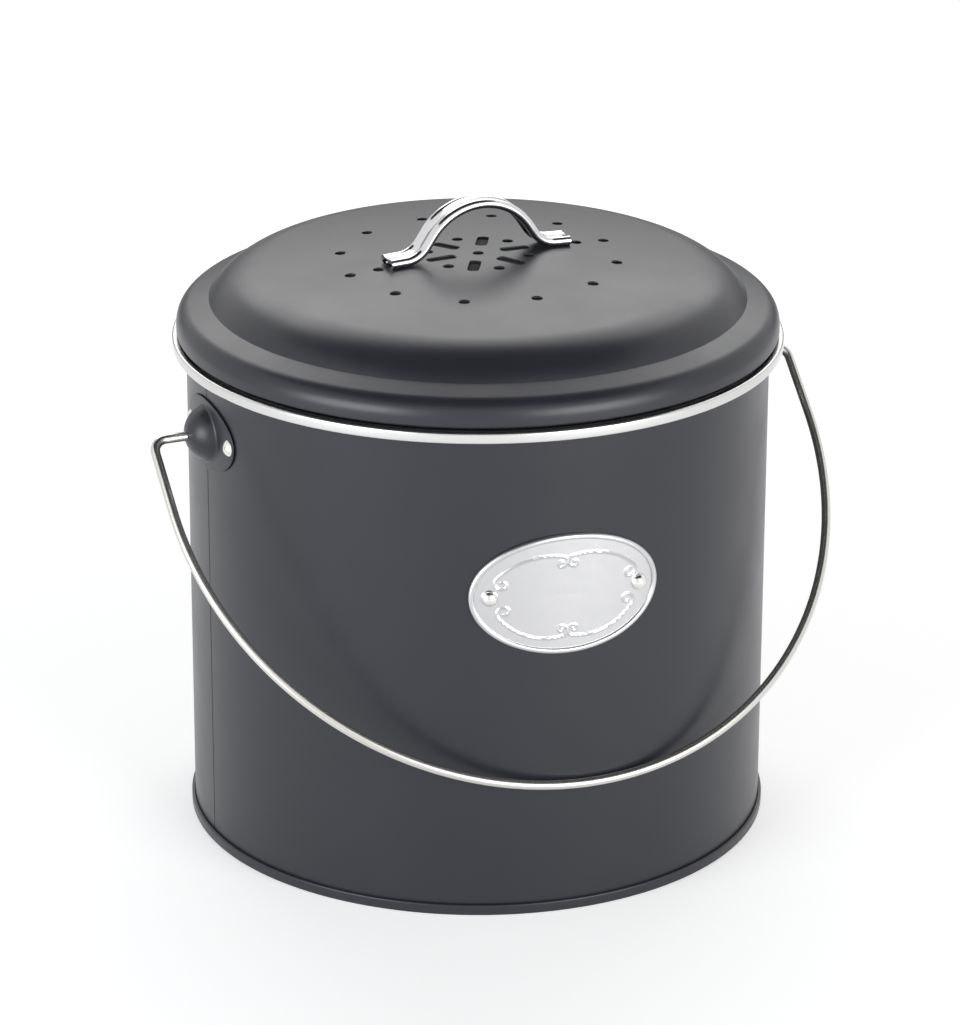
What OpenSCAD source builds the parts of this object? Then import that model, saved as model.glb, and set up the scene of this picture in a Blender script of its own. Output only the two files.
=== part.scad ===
// Kitchen compost caddy: round sheet-steel pail with a vented, hinged lid,
// a wire bail handle, a bright trim rim and a bare embossed badge plate.
// Millimetres, +Z up, the front faces -Y, the ground is z = 0.

/* [Body] */
// Outside diameter of the wall
body_d = 215; // [190:1:240]
// Height of the top of the rim above the ground
body_h = 187.1; // [170:0.1:230]
// Thickness of the painted sheet
sheet_t = 0.8; // [0.6:0.05:1]
// Height of the folded seam round the base
base_seam_h = 4.1; // [3.5:0.1:6]
// How far the folded seam stands out from the wall
base_seam_out = 1.3; // [1:0.1:2]
// Rounding of the folded seam's edges
base_seam_round = 0.6; // [0.3:0.05:0.7]
// Height of the floor's upper face above the ground
floor_z = 4; // [3:0.1:4]
// Width of the flat ring round the sunk panel in the floor
panel_in = 21.5; // [18:0.5:40]
// How far the floor panel is sunk
panel_drop = 1.2; // [0.5:0.1:1.8]
// Width of the lap inside the side seam
lap_w = 7; // [5:0.5:10]
// Thickness of the lap inside the side seam
lap_t = 0.6; // [0.4:0.05:0.7]
// Width of the line that the side seam leaves outside
seam_line_w = 0.6; // [0.4:0.1:1]
// Depth of the line that the side seam leaves outside
seam_line_t = 0.2; // [0.1:0.05:0.3]

/* [Rim] */
// Height of the bright trim band
rim_h = 4.1; // [3.5:0.1:6]
// How far the trim band stands out from the wall
rim_out = 5.2; // [4:0.1:7]
// Thickness of the trim band's metal
trim_t = 0.7; // [0.5:0.05:0.9]
// Rounding of the trim band's outer edges
rim_round = 0.9; // [0.5:0.05:1.2]
// Inside radius of the bend below the trim
flange_bend_r = 1.6; // [1.2:0.1:2]

/* [Lid] */
// How far the lid's skirt stands out from the wall
lid_out = 3.5; // [3.3:0.1:4.4]
// Gap between the rim and the lid's hem
lid_gap = 1.1; // [0.8:0.1:3]
// Height of the lid from its hem to the crease at the foot of the dome
lid_edge_h = 12.4; // [11:0.1:14]
// Rounding of the lid's edge
lid_edge_r = 7.3; // [6:0.1:7.3]
// Radius of the rolled hem
hem_r = 0.9; // [0.85:0.05:1]
// Width of the ledge between the lid's edge and the dome
ledge_w = 12.1; // [10.6:0.1:14]
// Slope of the ledge, falling towards the edge
ledge_slope = 17.4; // [12:0.1:19]
// Height of the dome above the crease at its foot
dome_h = 15.6; // [14:0.1:20]
// Radius of the dome's shoulder
shoulder_r = 26; // [20:0.5:30]
// Radius of the nearly flat top
cap_r = 700; // [600:1:1200]

/* [Vents] */
// Diameter of each round vent
vent_d = 3.9; // [2.5:0.1:5]
// Radius of the outer ring of vents
vent_ring_r = 51; // [46:0.5:54]
// Number of vents in the outer ring
vent_count = 12; // [6:1:16]
// Radius of the inner ring of vents
petal_r = 18.6; // [16:0.1:22]
// Number of slots, and of vents between them
slot_count = 6; // [4:1:7]
// Middle radius of the slots
slot_r = 14.8; // [13:0.1:17]
// Length of a slot
slot_l = 11.2; // [8:0.1:12]
// Width of a slot
slot_w = 4.2; // [3:0.1:5]
// Corner radius of a slot
slot_corner = 1.6; // [0.5:0.1:2]
// Radius of the two vents past the ends of the lid handle
end_vent_r = 39.8; // [39.8:0.1:42]

/* [Lid collar and seal] */
// Gap between the collar and the inside of the wall
collar_gap = 1.1; // [0.9:0.1:1.5]
// How far the collar reaches below the rim
collar_depth = 10; // [6:0.5:16]
// Width of the flange that joins the collar to the lid
collar_flange_w = 5.1; // [3:0.1:6]
// Gap between the seal and the rim when the lid is shut
seal_gap = 0.3; // [0.2:0.05:0.5]
// Width of the sealing ring
seal_w = 3.3; // [2:0.1:3.4]
// Height of the sealing ring
seal_h = 5.6; // [4:0.1:7]
// Depth of the groove round the sealing ring
seal_groove = 0.9; // [0.3:0.1:1.2]

/* [Lid handle] */
// Width of the strap
strap_w = 10.6; // [8:0.1:13]
// Height of the strap's section
strap_h = 3.5; // [3.3:0.1:4.5]
// Thickness of the strap's metal
strap_t = 0.8; // [0.6:0.05:0.9]
// How far the flat of the strap lies below its rolled edges
strap_dip = 0.35; // [0.2:0.05:0.4]
// Width of the slit under the strap
strap_slit = 6.4; // [5.8:0.1:7]
// Length of the strap from end to end
strap_span = 71.6; // [70:0.2:74]
// Height of the strap's crown above its feet
strap_rise = 18.4; // [16.5:0.1:20]
// Slope of the strap's sides
strap_angle = 56; // [50:1:60]
// Radius of the crown
crown_r = 23.3; // [20:0.1:25]
// Radius of the bend above each foot
foot_bend_r = 10; // [8:0.5:11]
// How far the strap is set back from the line of the end vents
strap_back = 1.2; // [0:0.1:4]
// Distance of each screw from the middle of the strap
screw_x = 32; // [31.5:0.1:32.5]
// Diameter of the handle screws
screw_d = 3; // [2.5:0.1:3]
// Diameter of a screw's head
screw_head_d = 6.5; // [5.5:0.1:7]
// Height of a screw's head
screw_head_h = 2; // [1.5:0.1:2.5]
// Length of each arm of the cross in a screw's head
screw_cross_l = 3.9; // [3:0.1:5]
// Width of each arm of the cross in a screw's head
screw_cross_w = 0.8; // [0.6:0.05:1]
// Width across the square nut
nut_w = 5.2; // [4.8:0.1:5.6]
// Thickness of the square nut
nut_h = 1.7; // [1.5:0.1:1.8]

/* [Filter] */
// Diameter of the carbon pad
pad_d = 116; // [110:1:124]
// Height of the pad's lower face above the crease
pad_z = 3.9; // [2:0.1:6]
// Gap round the screw heads in the pad
pad_gap = 0.75; // [0.5:0.05:1.5]
// Number of clips that hold the pad
clip_count = 4; // [4:1:4]
// Angle of the first clip from the right-hand ear
clip_turn = 45; // [35:1:55]
// Width of a clip
clip_w = 10; // [8:0.5:14]
// How far a clip's lip reaches under the pad
clip_lip = 7; // [4:0.5:10]
// Length of a clip's welded foot
clip_foot = 7; // [5:0.5:8]

/* [Ears] */
// How far the bail's axis lies below the top of the rim
ear_drop = 25.1; // [24.1:0.1:39]
// Width of an ear plate along the wall
ear_w = 44; // [42:0.5:50]
// Height of an ear plate
ear_h = 26.5; // [24:0.5:30]
// Thickness of an ear plate
ear_t = 0.8; // [0.6:0.05:1]
// Diameter of the dome at its foot
ear_dome_d = 20.6; // [19:0.1:22]
// Height of the dome above the plate
ear_dome_h = 7.5; // [6.8:0.1:9]
// Spacing of the two rivets along the wall
ear_rivet_span = 36; // [34:0.5:37]
// Diameter of an ear rivet's head
ear_head_d = 6; // [5:0.1:6.4]
// Height of an ear rivet's head
ear_head_h = 1.5; // [1:0.1:2]

/* [Bail] */
// Diameter of the bail wire
wire_d = 3.5; // [3:0.1:4]
// How far the middle of the wire lies outside the wall
bail_out = 21.2; // [21.2:0.1:27.5]
// Drop of the arch's centre below the bail's axis
arch_drop = 28; // [22:0.5:34]
// Bend radius at the bail's two corners
corner_r = 5; // [4:0.5:7]
// Clearance round the wire where it turns in the ears
wire_clear = 0.1; // [0.05:0.01:0.1]
// Gap between the hanging bail and the wall
bail_gap = 0.3; // [0.3:0.1:1]
// Diameter of the head on each end of the wire
wire_head_d = 6.4; // [5.5:0.1:7]
// Thickness of the head on each end of the wire
wire_head_t = 1.5; // [1:0.1:2]
// Gap between the wall and the head on each end of the wire
wire_head_gap = 1.2; // [0.8:0.1:1.4]

/* [Badge] */
// Length of the oval badge plate along the wall
badge_w = 71; // [60:0.5:80]
// Height of the oval badge plate
badge_h = 45.4; // [36:0.2:50]
// How far the badge's middle lies below the top of the rim
badge_drop = 63.4; // [59:0.1:77]
// Angle of the badge from the front, towards the left ear
badge_turn = 7.3; // [0:0.1:10]
// Thickness of the badge plate
badge_t = 0.8; // [0.6:0.05:1]
// Width of the raised border
badge_border_w = 2.2; // [1.5:0.1:3]
// Height of the raised border above the plate
badge_border_h = 0.9; // [0.5:0.1:1.2]
// Spacing of the badge rivets along the wall
badge_rivet_span = 56.2; // [50:0.2:58]
// Diameter of a badge rivet's head
badge_head_d = 6.2; // [5:0.1:6.6]
// Height of a badge rivet's head
badge_head_h = 2.4; // [1.5:0.1:2.8]

/* [Hinge] */
// Width of the hinge
hinge_w = 32; // [28:1:38]
// Width of the lid's knuckle
lid_knuckle_w = 16; // [14:0.5:18]
// Outside diameter of the knuckles
knuckle_d = 5.5; // [5:0.1:6]
// Diameter of the hinge pin
pin_d = 2.5; // [2:0.1:2.8]
// Clearance round the pin in the lid's knuckle
pin_clear = 0.05; // [0.03:0.01:0.1]
// Gap between the knuckles, end to end
knuckle_gap = 0.3; // [0.2:0.05:0.5]
// Gap between the rim and the knuckles
hinge_gap = 0.5; // [0.4:0.1:1]
// Height of the pin above the rim
pin_rise = 0.9; // [0.6:0.1:1.2]
// Thickness of the hinge leaves
leaf_t = 1; // [0.8:0.05:1.1]
// Height of the body leaf on the wall
leaf_h = 19.4; // [16:0.1:24]
// Height of the lid leaf on the skirt
lid_leaf_h = 5; // [4.9:0.1:5.4]
// Height of the stops above the pin
stop_h = 3.4; // [3:0.1:3.4]
// Distance of the body leaf's rivets from its ends
leaf_rivet_in = 7; // [6:0.5:9]
// Height of the body leaf's rivets above its lower edge
leaf_rivet_rise = 8.1; // [6:0.1:10]
// Diameter of the body leaf's rivet heads
leaf_head_d = 5; // [4:0.1:5.5]
// Height of the body leaf's rivet heads
leaf_head_h = 1.3; // [1:0.1:1.6]
// Distance of the lid leaf's rivets from its ends
lid_rivet_in = 5; // [4:0.5:5.5]
// Diameter of the lid leaf's rivet heads
lid_leaf_head_d = 2.6; // [2.4:0.1:2.8]
// Height of the lid leaf's rivet heads
lid_leaf_head_h = 0.8; // [0.6:0.1:1]
// Diameter of the heads on the hinge pin
pin_head_d = 4; // [3.4:0.1:4.4]
// Thickness of the heads on the hinge pin
pin_head_t = 0.8; // [0.5:0.1:1.2]

/* [Hidden] */
$fn = 96;

// Colours
PAINT = [0.25, 0.26, 0.28];
CHROME = [0.82, 0.83, 0.85];
NICKEL = [0.66, 0.65, 0.62];
RUBBER = [0.08, 0.08, 0.09];
CARBON = [0.12, 0.12, 0.12];

// Small constants
EPS = 0.01;
SLACK = 0.1;
ARC_STEP = 4;
STRAP_STEP = 30;
CROWN_STEPS = 8;
BEND_STEPS = 4;
CAP_STEPS = 12;
OVAL_SIDES = 72;
RIVET_TAIL = 1.5;

// Directions round the body, in degrees from +X
LEFT = 180;
RIGHT = 0;
FRONT = 270;
REAR = 90;

// Body
wall_r = body_d / 2;
wall_in_r = wall_r - sheet_t;
base_in_r = wall_in_r - sheet_t;
base_seam_r = wall_r + base_seam_out;
wall_top = body_h - trim_t;
rim_r = wall_r + rim_out;
rim_z = body_h - rim_h;

// Lid
lid_r = wall_r + lid_out;
hem_z = body_h + lid_gap;
ledge_z = hem_z + lid_edge_h;
top_z = ledge_z + dome_h;
crease = [lid_r - ledge_w, ledge_z];
cap_centre = [0, top_z - cap_r];
to_crease = crease - cap_centre;
shoulder_reach = cap_r - shoulder_r;
shoulder_swing = acos(
    (to_crease * to_crease + pow(shoulder_reach, 2) - pow(shoulder_r, 2))
    / (2 * norm(to_crease) * shoulder_reach));
cap_angle = atan2(to_crease[0], to_crease[1]) - shoulder_swing;
shoulder_centre = cap_centre + shoulder_reach * [sin(cap_angle), cos(cap_angle)];
to_shoulder_end = crease - shoulder_centre;
shoulder_end = atan2(to_shoulder_end[0], to_shoulder_end[1]);
ledge_l = (ledge_w - lid_edge_r * (1 - sin(ledge_slope))) / cos(ledge_slope);
edge_centre = [lid_r - lid_edge_r, ledge_z - ledge_l * sin(ledge_slope) - lid_edge_r * cos(ledge_slope)];

// Collar and seal
collar_r = wall_in_r - collar_gap;
collar_z = body_h - collar_depth;
seal_z = body_h + seal_gap;

// Lid handle
roll_r = strap_h / 2;
roll_x = strap_w / 2 - roll_r;
strap_end_x = strap_span / 2;
foot_slope = asin(screw_x / cap_r);
foot_turn = strap_angle - foot_slope;
foot_up = [sin(foot_slope), cos(foot_slope)];
foot_z = lid_z(norm([screw_x, strap_back - roll_x]));
crown_centre = [0, strap_rise + roll_r - crown_r];
flank_l = ((crown_r + foot_bend_r) * cos(foot_turn) - foot_bend_r - roll_r
    + (crown_centre - [screw_x, 0]) * foot_up) / sin(foot_turn);
flank_start = crown_centre + crown_r * [sin(strap_angle), cos(strap_angle)];
bend_centre = flank_start + flank_l * [cos(strap_angle), -sin(strap_angle)]
    + foot_bend_r * [sin(strap_angle), cos(strap_angle)];
foot_start = bend_centre - foot_bend_r * foot_up;
foot_l = (strap_end_x - foot_start[0]) / cos(foot_slope);
band_under = strap_h - strap_dip - strap_t;

// Filter
pad_r = pad_d / 2;
pad_under = ledge_z + pad_z;
clip_r = pad_r + 2 * SLACK;
pad_hole_d = screw_head_d + 2 * pad_gap;

// Ears and bail
ear_z = body_h - ear_drop;
ear_out_r = wall_r + ear_t;
dome_ball_r = (pow(ear_dome_d / 2, 2) + pow(ear_dome_h, 2)) / (2 * ear_dome_h);
dome_ball_x = ear_out_r + ear_dome_h - dome_ball_r;
ear_rivet_turn = ear_rivet_span / 2 / wall_r * 180 / PI;
ear_shank_d = ear_head_d / 2;
arch_r = wall_r + bail_out;
bail_reach = arch_r + arch_drop;
bail_rest = asin((wall_r + bail_gap + wire_d / 2) / bail_reach);
wire_head_x = wall_r + wire_head_gap;

// Badge
badge_z = body_h - badge_drop;
badge_out_r = wall_r + badge_t;
badge_az = FRONT - badge_turn;
badge_rivet_turn = badge_rivet_span / 2 / badge_out_r * 180 / PI;
badge_shank_d = badge_head_d / 2;

// Hinge
knuckle_r = knuckle_d / 2;
hinge_y = rim_r + hinge_gap + knuckle_r;
hinge_z = body_h + pin_rise;
leaf_shelf_z = rim_z - 2 * pin_clear - hinge_gap;
leaf_foot_z = leaf_shelf_z - leaf_h;
leaf_rivet_z = leaf_foot_z + leaf_rivet_rise;
lid_leaf_rivet_z = hem_z + lid_leaf_h - lid_leaf_head_d / 2 - 2 * SLACK;
leaf_shank_d = leaf_head_d / 2;
lid_leaf_shank_d = lid_leaf_head_d / 2;
rivet_bore_l = 6 * (sheet_t + leaf_t);
leaf_rivet_x = hinge_w / 2 - leaf_rivet_in;
lid_rivet_x = hinge_w / 2 - lid_rivet_in;

// Points on an arc round c, with angles measured clockwise from straight up
function arc(c, r, from, to, step = ARC_STEP) = let (n = ceil(abs(to - from) / step) + 2)
    [for (i = [0:n]) let (a = from + (to - from) * i / n) c + r * [sin(a), cos(a)]];

// A path moved sideways by t, to the left of its direction when t is positive
function unit(v) = v / norm(v);
function left_of(v) = [-v[1], v[0]];
function shifted(p, t) = [for (i = [0:len(p) - 1])
    let (before = left_of(unit(p[max(i, 1)] - p[max(i, 1) - 1])),
         j = min(i, len(p) - 2),
         after = left_of(unit(p[j + 1] - p[j])),
         m = unit(before + after))
    p[i] + m * t / (m * before)];
function past_axis(p) = [for (q = p) [max(q[0], 0), q[1]]];
function reversed(p) = [for (i = [len(p) - 1:-1:0]) p[i]];

// Height of the lid's outer face at a radius on its nearly flat top
function lid_z(r) = cap_centre[1] + sqrt(cap_r * cap_r - r * r);

// The outer face of the nearly flat top, from the middle outwards
function cap_path() = [for (i = [0:CAP_STEPS])
    let (a = cap_angle * i / CAP_STEPS) cap_centre + cap_r * [sin(a), cos(a)]];

// A sheet of thickness t on the right-hand side of a path, turned round Z
module sheet_ring(path, t) {
    rotate_extrude() polygon(concat(path, past_axis(reversed(shifted(path, -t)))));
}

// A rectangle from a to b with round corners
module round_rect(a, b, r) {
    translate([a[0] + r, a[1]]) square([b[0] - a[0] - 2 * r, b[1] - a[1]]);
    translate([a[0], a[1] + r]) square([b[0] - a[0], b[1] - a[1] - 2 * r]);
    for (x = [a[0] + r, b[0] - r], y = [a[1] + r, b[1] - r]) translate([x, y]) circle(r);
}

// A tube round Z from radius r1 to r2 and from z1 to z2
module tube(r1, r2, z1, z2) {
    translate([0, 0, z1]) difference() {
        cylinder(r = r2, h = z2 - z1);
        translate([0, 0, -EPS]) cylinder(r = r1, h = z2 - z1 + 2 * EPS);
    }
}

// Stands what follows on the wall: its Z points outwards at azimuth az
module on_wall(az, r, z) {
    rotate([0, 0, az]) translate([r, 0, z]) rotate([0, 90, 0]) children();
}

// An oval of width w and height h, standing on the wall's X, and l long
module oval_prism(w, h, l) {
    step = 360 / OVAL_SIDES;
    rotate([90, 0, 90]) linear_extrude(l)
        polygon([for (i = [0:OVAL_SIDES - 1]) [w / 2 * cos(i * step), h / 2 * sin(i * step)]]);
}

// A rivet along Z: round head above z = 0, the clamped stack below it
module rivet(head_d, head_h, shank_d, grip) {
    ball_r = (pow(head_d / 2, 2) + pow(head_h, 2)) / (2 * head_h);
    tail_h = head_h / 2;
    tail_d = shank_d * RIVET_TAIL;
    rotate_extrude() {
        intersection() {
            translate([0, head_h - ball_r]) circle(ball_r);
            square([head_d, head_h]);
        }
        translate([0, -grip - tail_h]) square([shank_d / 2, grip + tail_h + EPS]);
        translate([0, -grip - tail_h]) square([tail_d / 2, tail_h - SLACK]);
    }
}

// The hole for a rivet's shank
module rivet_hole(az, r, z, shank_d) {
    on_wall(az, r, z) cylinder(d = shank_d, h = rivet_bore_l, center = true);
}

// ---- Body ----

module body_wall() {
    path = concat(
        [[wall_in_r, sheet_t]],
        arc([wall_in_r + flange_bend_r, wall_top - flange_bend_r], flange_bend_r, -90, 0),
        [[rim_r - trim_t, wall_top]]);
    color(PAINT) difference() {
        union() {
            sheet_ring(path, sheet_t);
            intersection() {
                tube(wall_in_r - lap_t, wall_in_r + EPS, floor_z + SLACK, wall_top - 2 * flange_bend_r);
                translate([-body_d, -lap_w / 2, 0]) cube([body_d, lap_w, body_h]);
            }
        }
        difference() {
            translate([-body_d, -seam_line_w / 2, -EPS]) cube([body_d, seam_line_w, rim_z]);
            cylinder(r = wall_r - seam_line_t, h = 3 * body_h, center = true);
        }
        for (side = [LEFT, RIGHT], turn = [-1, 1])
            rivet_hole(side + turn * ear_rivet_turn, wall_r, ear_z, ear_shank_d);
        for (turn = [-1, 1]) {
            rivet_hole(badge_az + turn * badge_rivet_turn, wall_r, badge_z, badge_shank_d);
            rivet_hole(body_leaf_rivet_az(turn), wall_r, leaf_rivet_z, leaf_shank_d);
        }
    }
}

module base_pan() {
    panel_r = wall_r - panel_in;
    floor_path = [
        [0, floor_z - panel_drop],
        [panel_r, floor_z - panel_drop],
        [panel_r + 2 * panel_drop, floor_z],
        [base_in_r + EPS, floor_z]
    ];
    color(PAINT) union() {
        sheet_ring(floor_path, sheet_t);
        rotate_extrude() difference() {
            round_rect([base_in_r, 0], [base_seam_r, base_seam_h], base_seam_round);
            translate([wall_in_r, sheet_t]) square([sheet_t, base_seam_h]);
            translate([base_in_r - EPS, floor_z]) square([sheet_t + 2 * EPS, base_seam_h]);
        }
    }
}

module rim_trim() {
    color(CHROME) rotate_extrude() difference() {
        round_rect([wall_in_r, rim_z], [rim_r, body_h], rim_round);
        translate([wall_in_r - EPS, rim_z + trim_t])
            square([rim_r - trim_t - wall_in_r + EPS, rim_h - 2 * trim_t]);
        translate([wall_in_r - EPS, rim_z - EPS]) square([sheet_t + EPS, rim_h - trim_t]);
    }
}

// ---- Ears ----

module ear(side) {
    color(PAINT) rotate([0, 0, side]) difference() {
        union() {
            intersection() {
                tube(wall_r, ear_out_r, ear_z - ear_h, ear_z + ear_h);
                translate([wall_r / 2, 0, ear_z]) oval_prism(ear_w, ear_h, wall_r);
            }
            translate([dome_ball_x, 0, ear_z]) sphere(dome_ball_r);
        }
        cylinder(r = wall_r, h = 2 * body_h);
        difference() {
            translate([dome_ball_x, 0, ear_z]) sphere(dome_ball_r - ear_t);
            cylinder(r = wall_r - EPS, h = 2 * body_h);
        }
        translate([wall_r, 0, ear_z]) rotate([0, 90, 0])
            cylinder(r = wire_d / 2 + wire_clear, h = 2 * ear_dome_h);
        for (turn = [-1, 1]) rivet_hole(turn * ear_rivet_turn, wall_r, ear_z, ear_shank_d);
    }
}

module ear_rivet(az) {
    color(NICKEL) on_wall(az, ear_out_r, ear_z)
        rivet(ear_head_d, ear_head_h, ear_shank_d, sheet_t + ear_t + SLACK);
}

module ear_left() {
    ear(LEFT);
}

module ear_right() {
    ear(RIGHT);
}

module ear_rivet_left_front() {
    ear_rivet(LEFT + ear_rivet_turn);
}

module ear_rivet_left_rear() {
    ear_rivet(LEFT - ear_rivet_turn);
}

module ear_rivet_right_front() {
    ear_rivet(RIGHT - ear_rivet_turn);
}

module ear_rivet_right_rear() {
    ear_rivet(RIGHT + ear_rivet_turn);
}

// ---- Badge ----

module badge_plate() {
    border_r = badge_out_r + badge_border_h;
    bore_l = 2 * wall_r;
    color(CHROME) rotate([0, 0, badge_az]) translate([0, 0, badge_z]) difference() {
        intersection() {
            tube(wall_r, border_r, -badge_h, badge_h);
            translate([wall_r / 2, 0, 0]) oval_prism(badge_w, badge_h, wall_r);
        }
        intersection() {
            tube(badge_out_r, border_r + SLACK, -badge_h, badge_h);
            translate([wall_r / 2, 0, 0])
                oval_prism(badge_w - 2 * badge_border_w, badge_h - 2 * badge_border_w, bore_l);
        }
        for (turn = [-1, 1]) rivet_hole(turn * badge_rivet_turn, wall_r, 0, badge_shank_d);
    }
}

module badge_rivet(turn) {
    color(CHROME) on_wall(badge_az + turn * badge_rivet_turn, badge_out_r, badge_z)
        rivet(badge_head_d, badge_head_h, badge_shank_d, sheet_t + badge_t + SLACK);
}

module badge_rivet_left() {
    badge_rivet(-1);
}

module badge_rivet_right() {
    badge_rivet(1);
}

// ---- Hinge ----

// Rivets of the two leaves, on a circle round the body
function body_leaf_rivet_az(turn) = REAR + turn * asin(leaf_rivet_x / wall_r);
function lid_leaf_rivet_az(turn) = REAR + turn * asin(lid_rivet_x / lid_r);

// A knuckle of width w, centred on the pin
module knuckle(w) {
    translate([-w / 2, hinge_y, hinge_z]) rotate([0, 90, 0]) cylinder(r = knuckle_r, h = w);
}

// A round bar of radius r along the pin
module pin_bar(r, l) {
    translate([-l / 2, hinge_y, hinge_z]) rotate([0, 90, 0]) cylinder(r = r, h = l);
}

// A box as wide as w, centred on x = 0
module mid_box(w, y1, y2, z1, z2) {
    translate([-w / 2, y1, z1]) cube([w, y2 - y1, z2 - z1]);
}

module hinge_body_leaf() {
    riser_y = hinge_y + knuckle_r;
    gap_w = lid_knuckle_w + 2 * knuckle_gap;
    color(NICKEL) difference() {
        union() {
            intersection() {
                tube(wall_r, wall_r + leaf_t, leaf_foot_z, leaf_shelf_z);
                mid_box(hinge_w, 0, 2 * wall_r, 0, body_h);
            }
            mid_box(hinge_w, wall_r - leaf_t, riser_y, leaf_shelf_z - leaf_t, leaf_shelf_z);
            mid_box(hinge_w, riser_y - leaf_t, riser_y, leaf_shelf_z - leaf_t, hinge_z + stop_h);
            knuckle(hinge_w);
        }
        cylinder(r = wall_r, h = 2 * body_h);
        mid_box(gap_w, rim_r - leaf_t, riser_y + leaf_t, rim_z + leaf_t, hinge_z + 3 * knuckle_r);
        pin_bar(pin_d / 2, 2 * hinge_w);
        for (turn = [-1, 1])
            rivet_hole(body_leaf_rivet_az(turn), wall_r, leaf_rivet_z, leaf_shank_d);
    }
}

module hinge_pin() {
    color(NICKEL) union() {
        pin_bar(pin_d / 2, hinge_w + 2 * pin_head_t);
        for (side = [0, 1]) mirror([side, 0, 0])
            translate([hinge_w / 2, hinge_y, hinge_z]) rotate([0, 90, 0])
                cylinder(d = pin_head_d, h = pin_head_t);
    }
}

module hinge_body_rivet(turn) {
    color(NICKEL) on_wall(body_leaf_rivet_az(turn), wall_r + leaf_t, leaf_rivet_z)
        rivet(leaf_head_d, leaf_head_h, leaf_shank_d, sheet_t + leaf_t + SLACK);
}

module hinge_body_rivet_left() {
    hinge_body_rivet(1);
}

module hinge_body_rivet_right() {
    hinge_body_rivet(-1);
}

module hinge_lid_leaf() {
    tongue_w = lid_knuckle_w - 2 * knuckle_gap;
    tongue_z = hinge_z + knuckle_r;
    color(NICKEL) difference() {
        union() {
            intersection() {
                tube(lid_r, lid_r + leaf_t, hem_z, hem_z + lid_leaf_h);
                mid_box(hinge_w, 0, 2 * lid_r, hem_z - SLACK, top_z);
            }
            mid_box(tongue_w, lid_r - leaf_t, hinge_y, tongue_z - leaf_t, tongue_z);
            knuckle(lid_knuckle_w);
        }
        cylinder(r = lid_r, h = 2 * body_h);
        pin_bar(pin_d / 2 + pin_clear, 2 * hinge_w);
        for (turn = [-1, 1])
            rivet_hole(lid_leaf_rivet_az(turn), lid_r, lid_leaf_rivet_z, lid_leaf_shank_d);
    }
}

module hinge_lid_rivet(turn) {
    color(NICKEL) on_wall(lid_leaf_rivet_az(turn), lid_r + leaf_t, lid_leaf_rivet_z)
        rivet(lid_leaf_head_d, lid_leaf_head_h, lid_leaf_shank_d, sheet_t + leaf_t + SLACK);
}

module hinge_lid_rivet_left() {
    hinge_lid_rivet(1);
}

module hinge_lid_rivet_right() {
    hinge_lid_rivet(-1);
}

// ---- Lid ----

// One slot, from below the lid to above it
module vent_slot() {
    linear_extrude(dome_h + sheet_t)
        round_rect([slot_r - slot_l / 2, -slot_w / 2], [slot_r + slot_l / 2, slot_w / 2], slot_corner);
}

module vents() {
    module hole(r, a, d) {
        rotate([0, 0, a]) translate([r, 0, 0]) cylinder(d = d, h = dome_h + sheet_t);
    }
    slot_step = 360 / slot_count;
    translate([0, 0, ledge_z + sheet_t]) {
        hole(0, 0, vent_d);
        for (i = [0:vent_count - 1]) hole(vent_ring_r, i * 360 / vent_count, vent_d);
        for (i = [0:slot_count - 1]) {
            rotate([0, 0, i * slot_step]) vent_slot();
            hole(petal_r, (i + 0.5) * slot_step, vent_d);
        }
        for (side = [LEFT, RIGHT]) hole(end_vent_r, side, vent_d);
    }
}

module lid_shell() {
    path = concat(
        cap_path(),
        arc(shoulder_centre, shoulder_r, cap_angle + ARC_STEP, shoulder_end),
        arc(edge_centre, lid_edge_r, ledge_slope, 90),
        [[lid_r, hem_z + hem_r]]);
    color(PAINT) difference() {
        union() {
            sheet_ring(path, sheet_t);
            rotate_extrude() translate([lid_r - hem_r, hem_z + hem_r]) circle(hem_r);
        }
        vents();
        for (side = [-1, 1])
            at_screw(side) translate([0, 0, -screw_head_d]) cylinder(d = screw_d + SLACK, h = 2 * screw_head_d);
        for (turn = [-1, 1])
            rivet_hole(lid_leaf_rivet_az(turn), lid_r, lid_leaf_rivet_z, lid_leaf_shank_d);
    }
}

// Height of the ledge's lower face at a radius
function ledge_under(r) = ledge_z - (r - crease[0]) * tan(ledge_slope) - sheet_t / cos(ledge_slope);

module lid_collar() {
    flange_r = collar_r - collar_flange_w;
    path = [
        [flange_r, ledge_under(flange_r)],
        [collar_r, ledge_under(collar_r)],
        [collar_r, collar_z]
    ];
    color(PAINT) sheet_ring(path, sheet_t);
}

module lid_seal() {
    groove_h = seal_h / 4;
    color(RUBBER) rotate_extrude() difference() {
        translate([collar_r, seal_z]) square([seal_w, seal_h]);
        translate([collar_r + seal_w - seal_groove, seal_z + groove_h]) square([seal_w, groove_h]);
    }
}

// ---- Lid handle ----

// The strap's section: a flat band whose two edges roll down and under
function strap_edge() = arc(
    [-roll_x, roll_r], roll_r,
    180 - asin((roll_x - strap_slit / 2) / roll_r),
    360 + acos(1 - strap_dip / roll_r), STRAP_STEP);
function other_edge(p) = [for (q = reversed(p)) [-q[0], q[1]]];
function strap_section() = let (outside = concat(strap_edge(), other_edge(strap_edge())))
    concat(outside, reversed(shifted(outside, -strap_t)));

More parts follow.
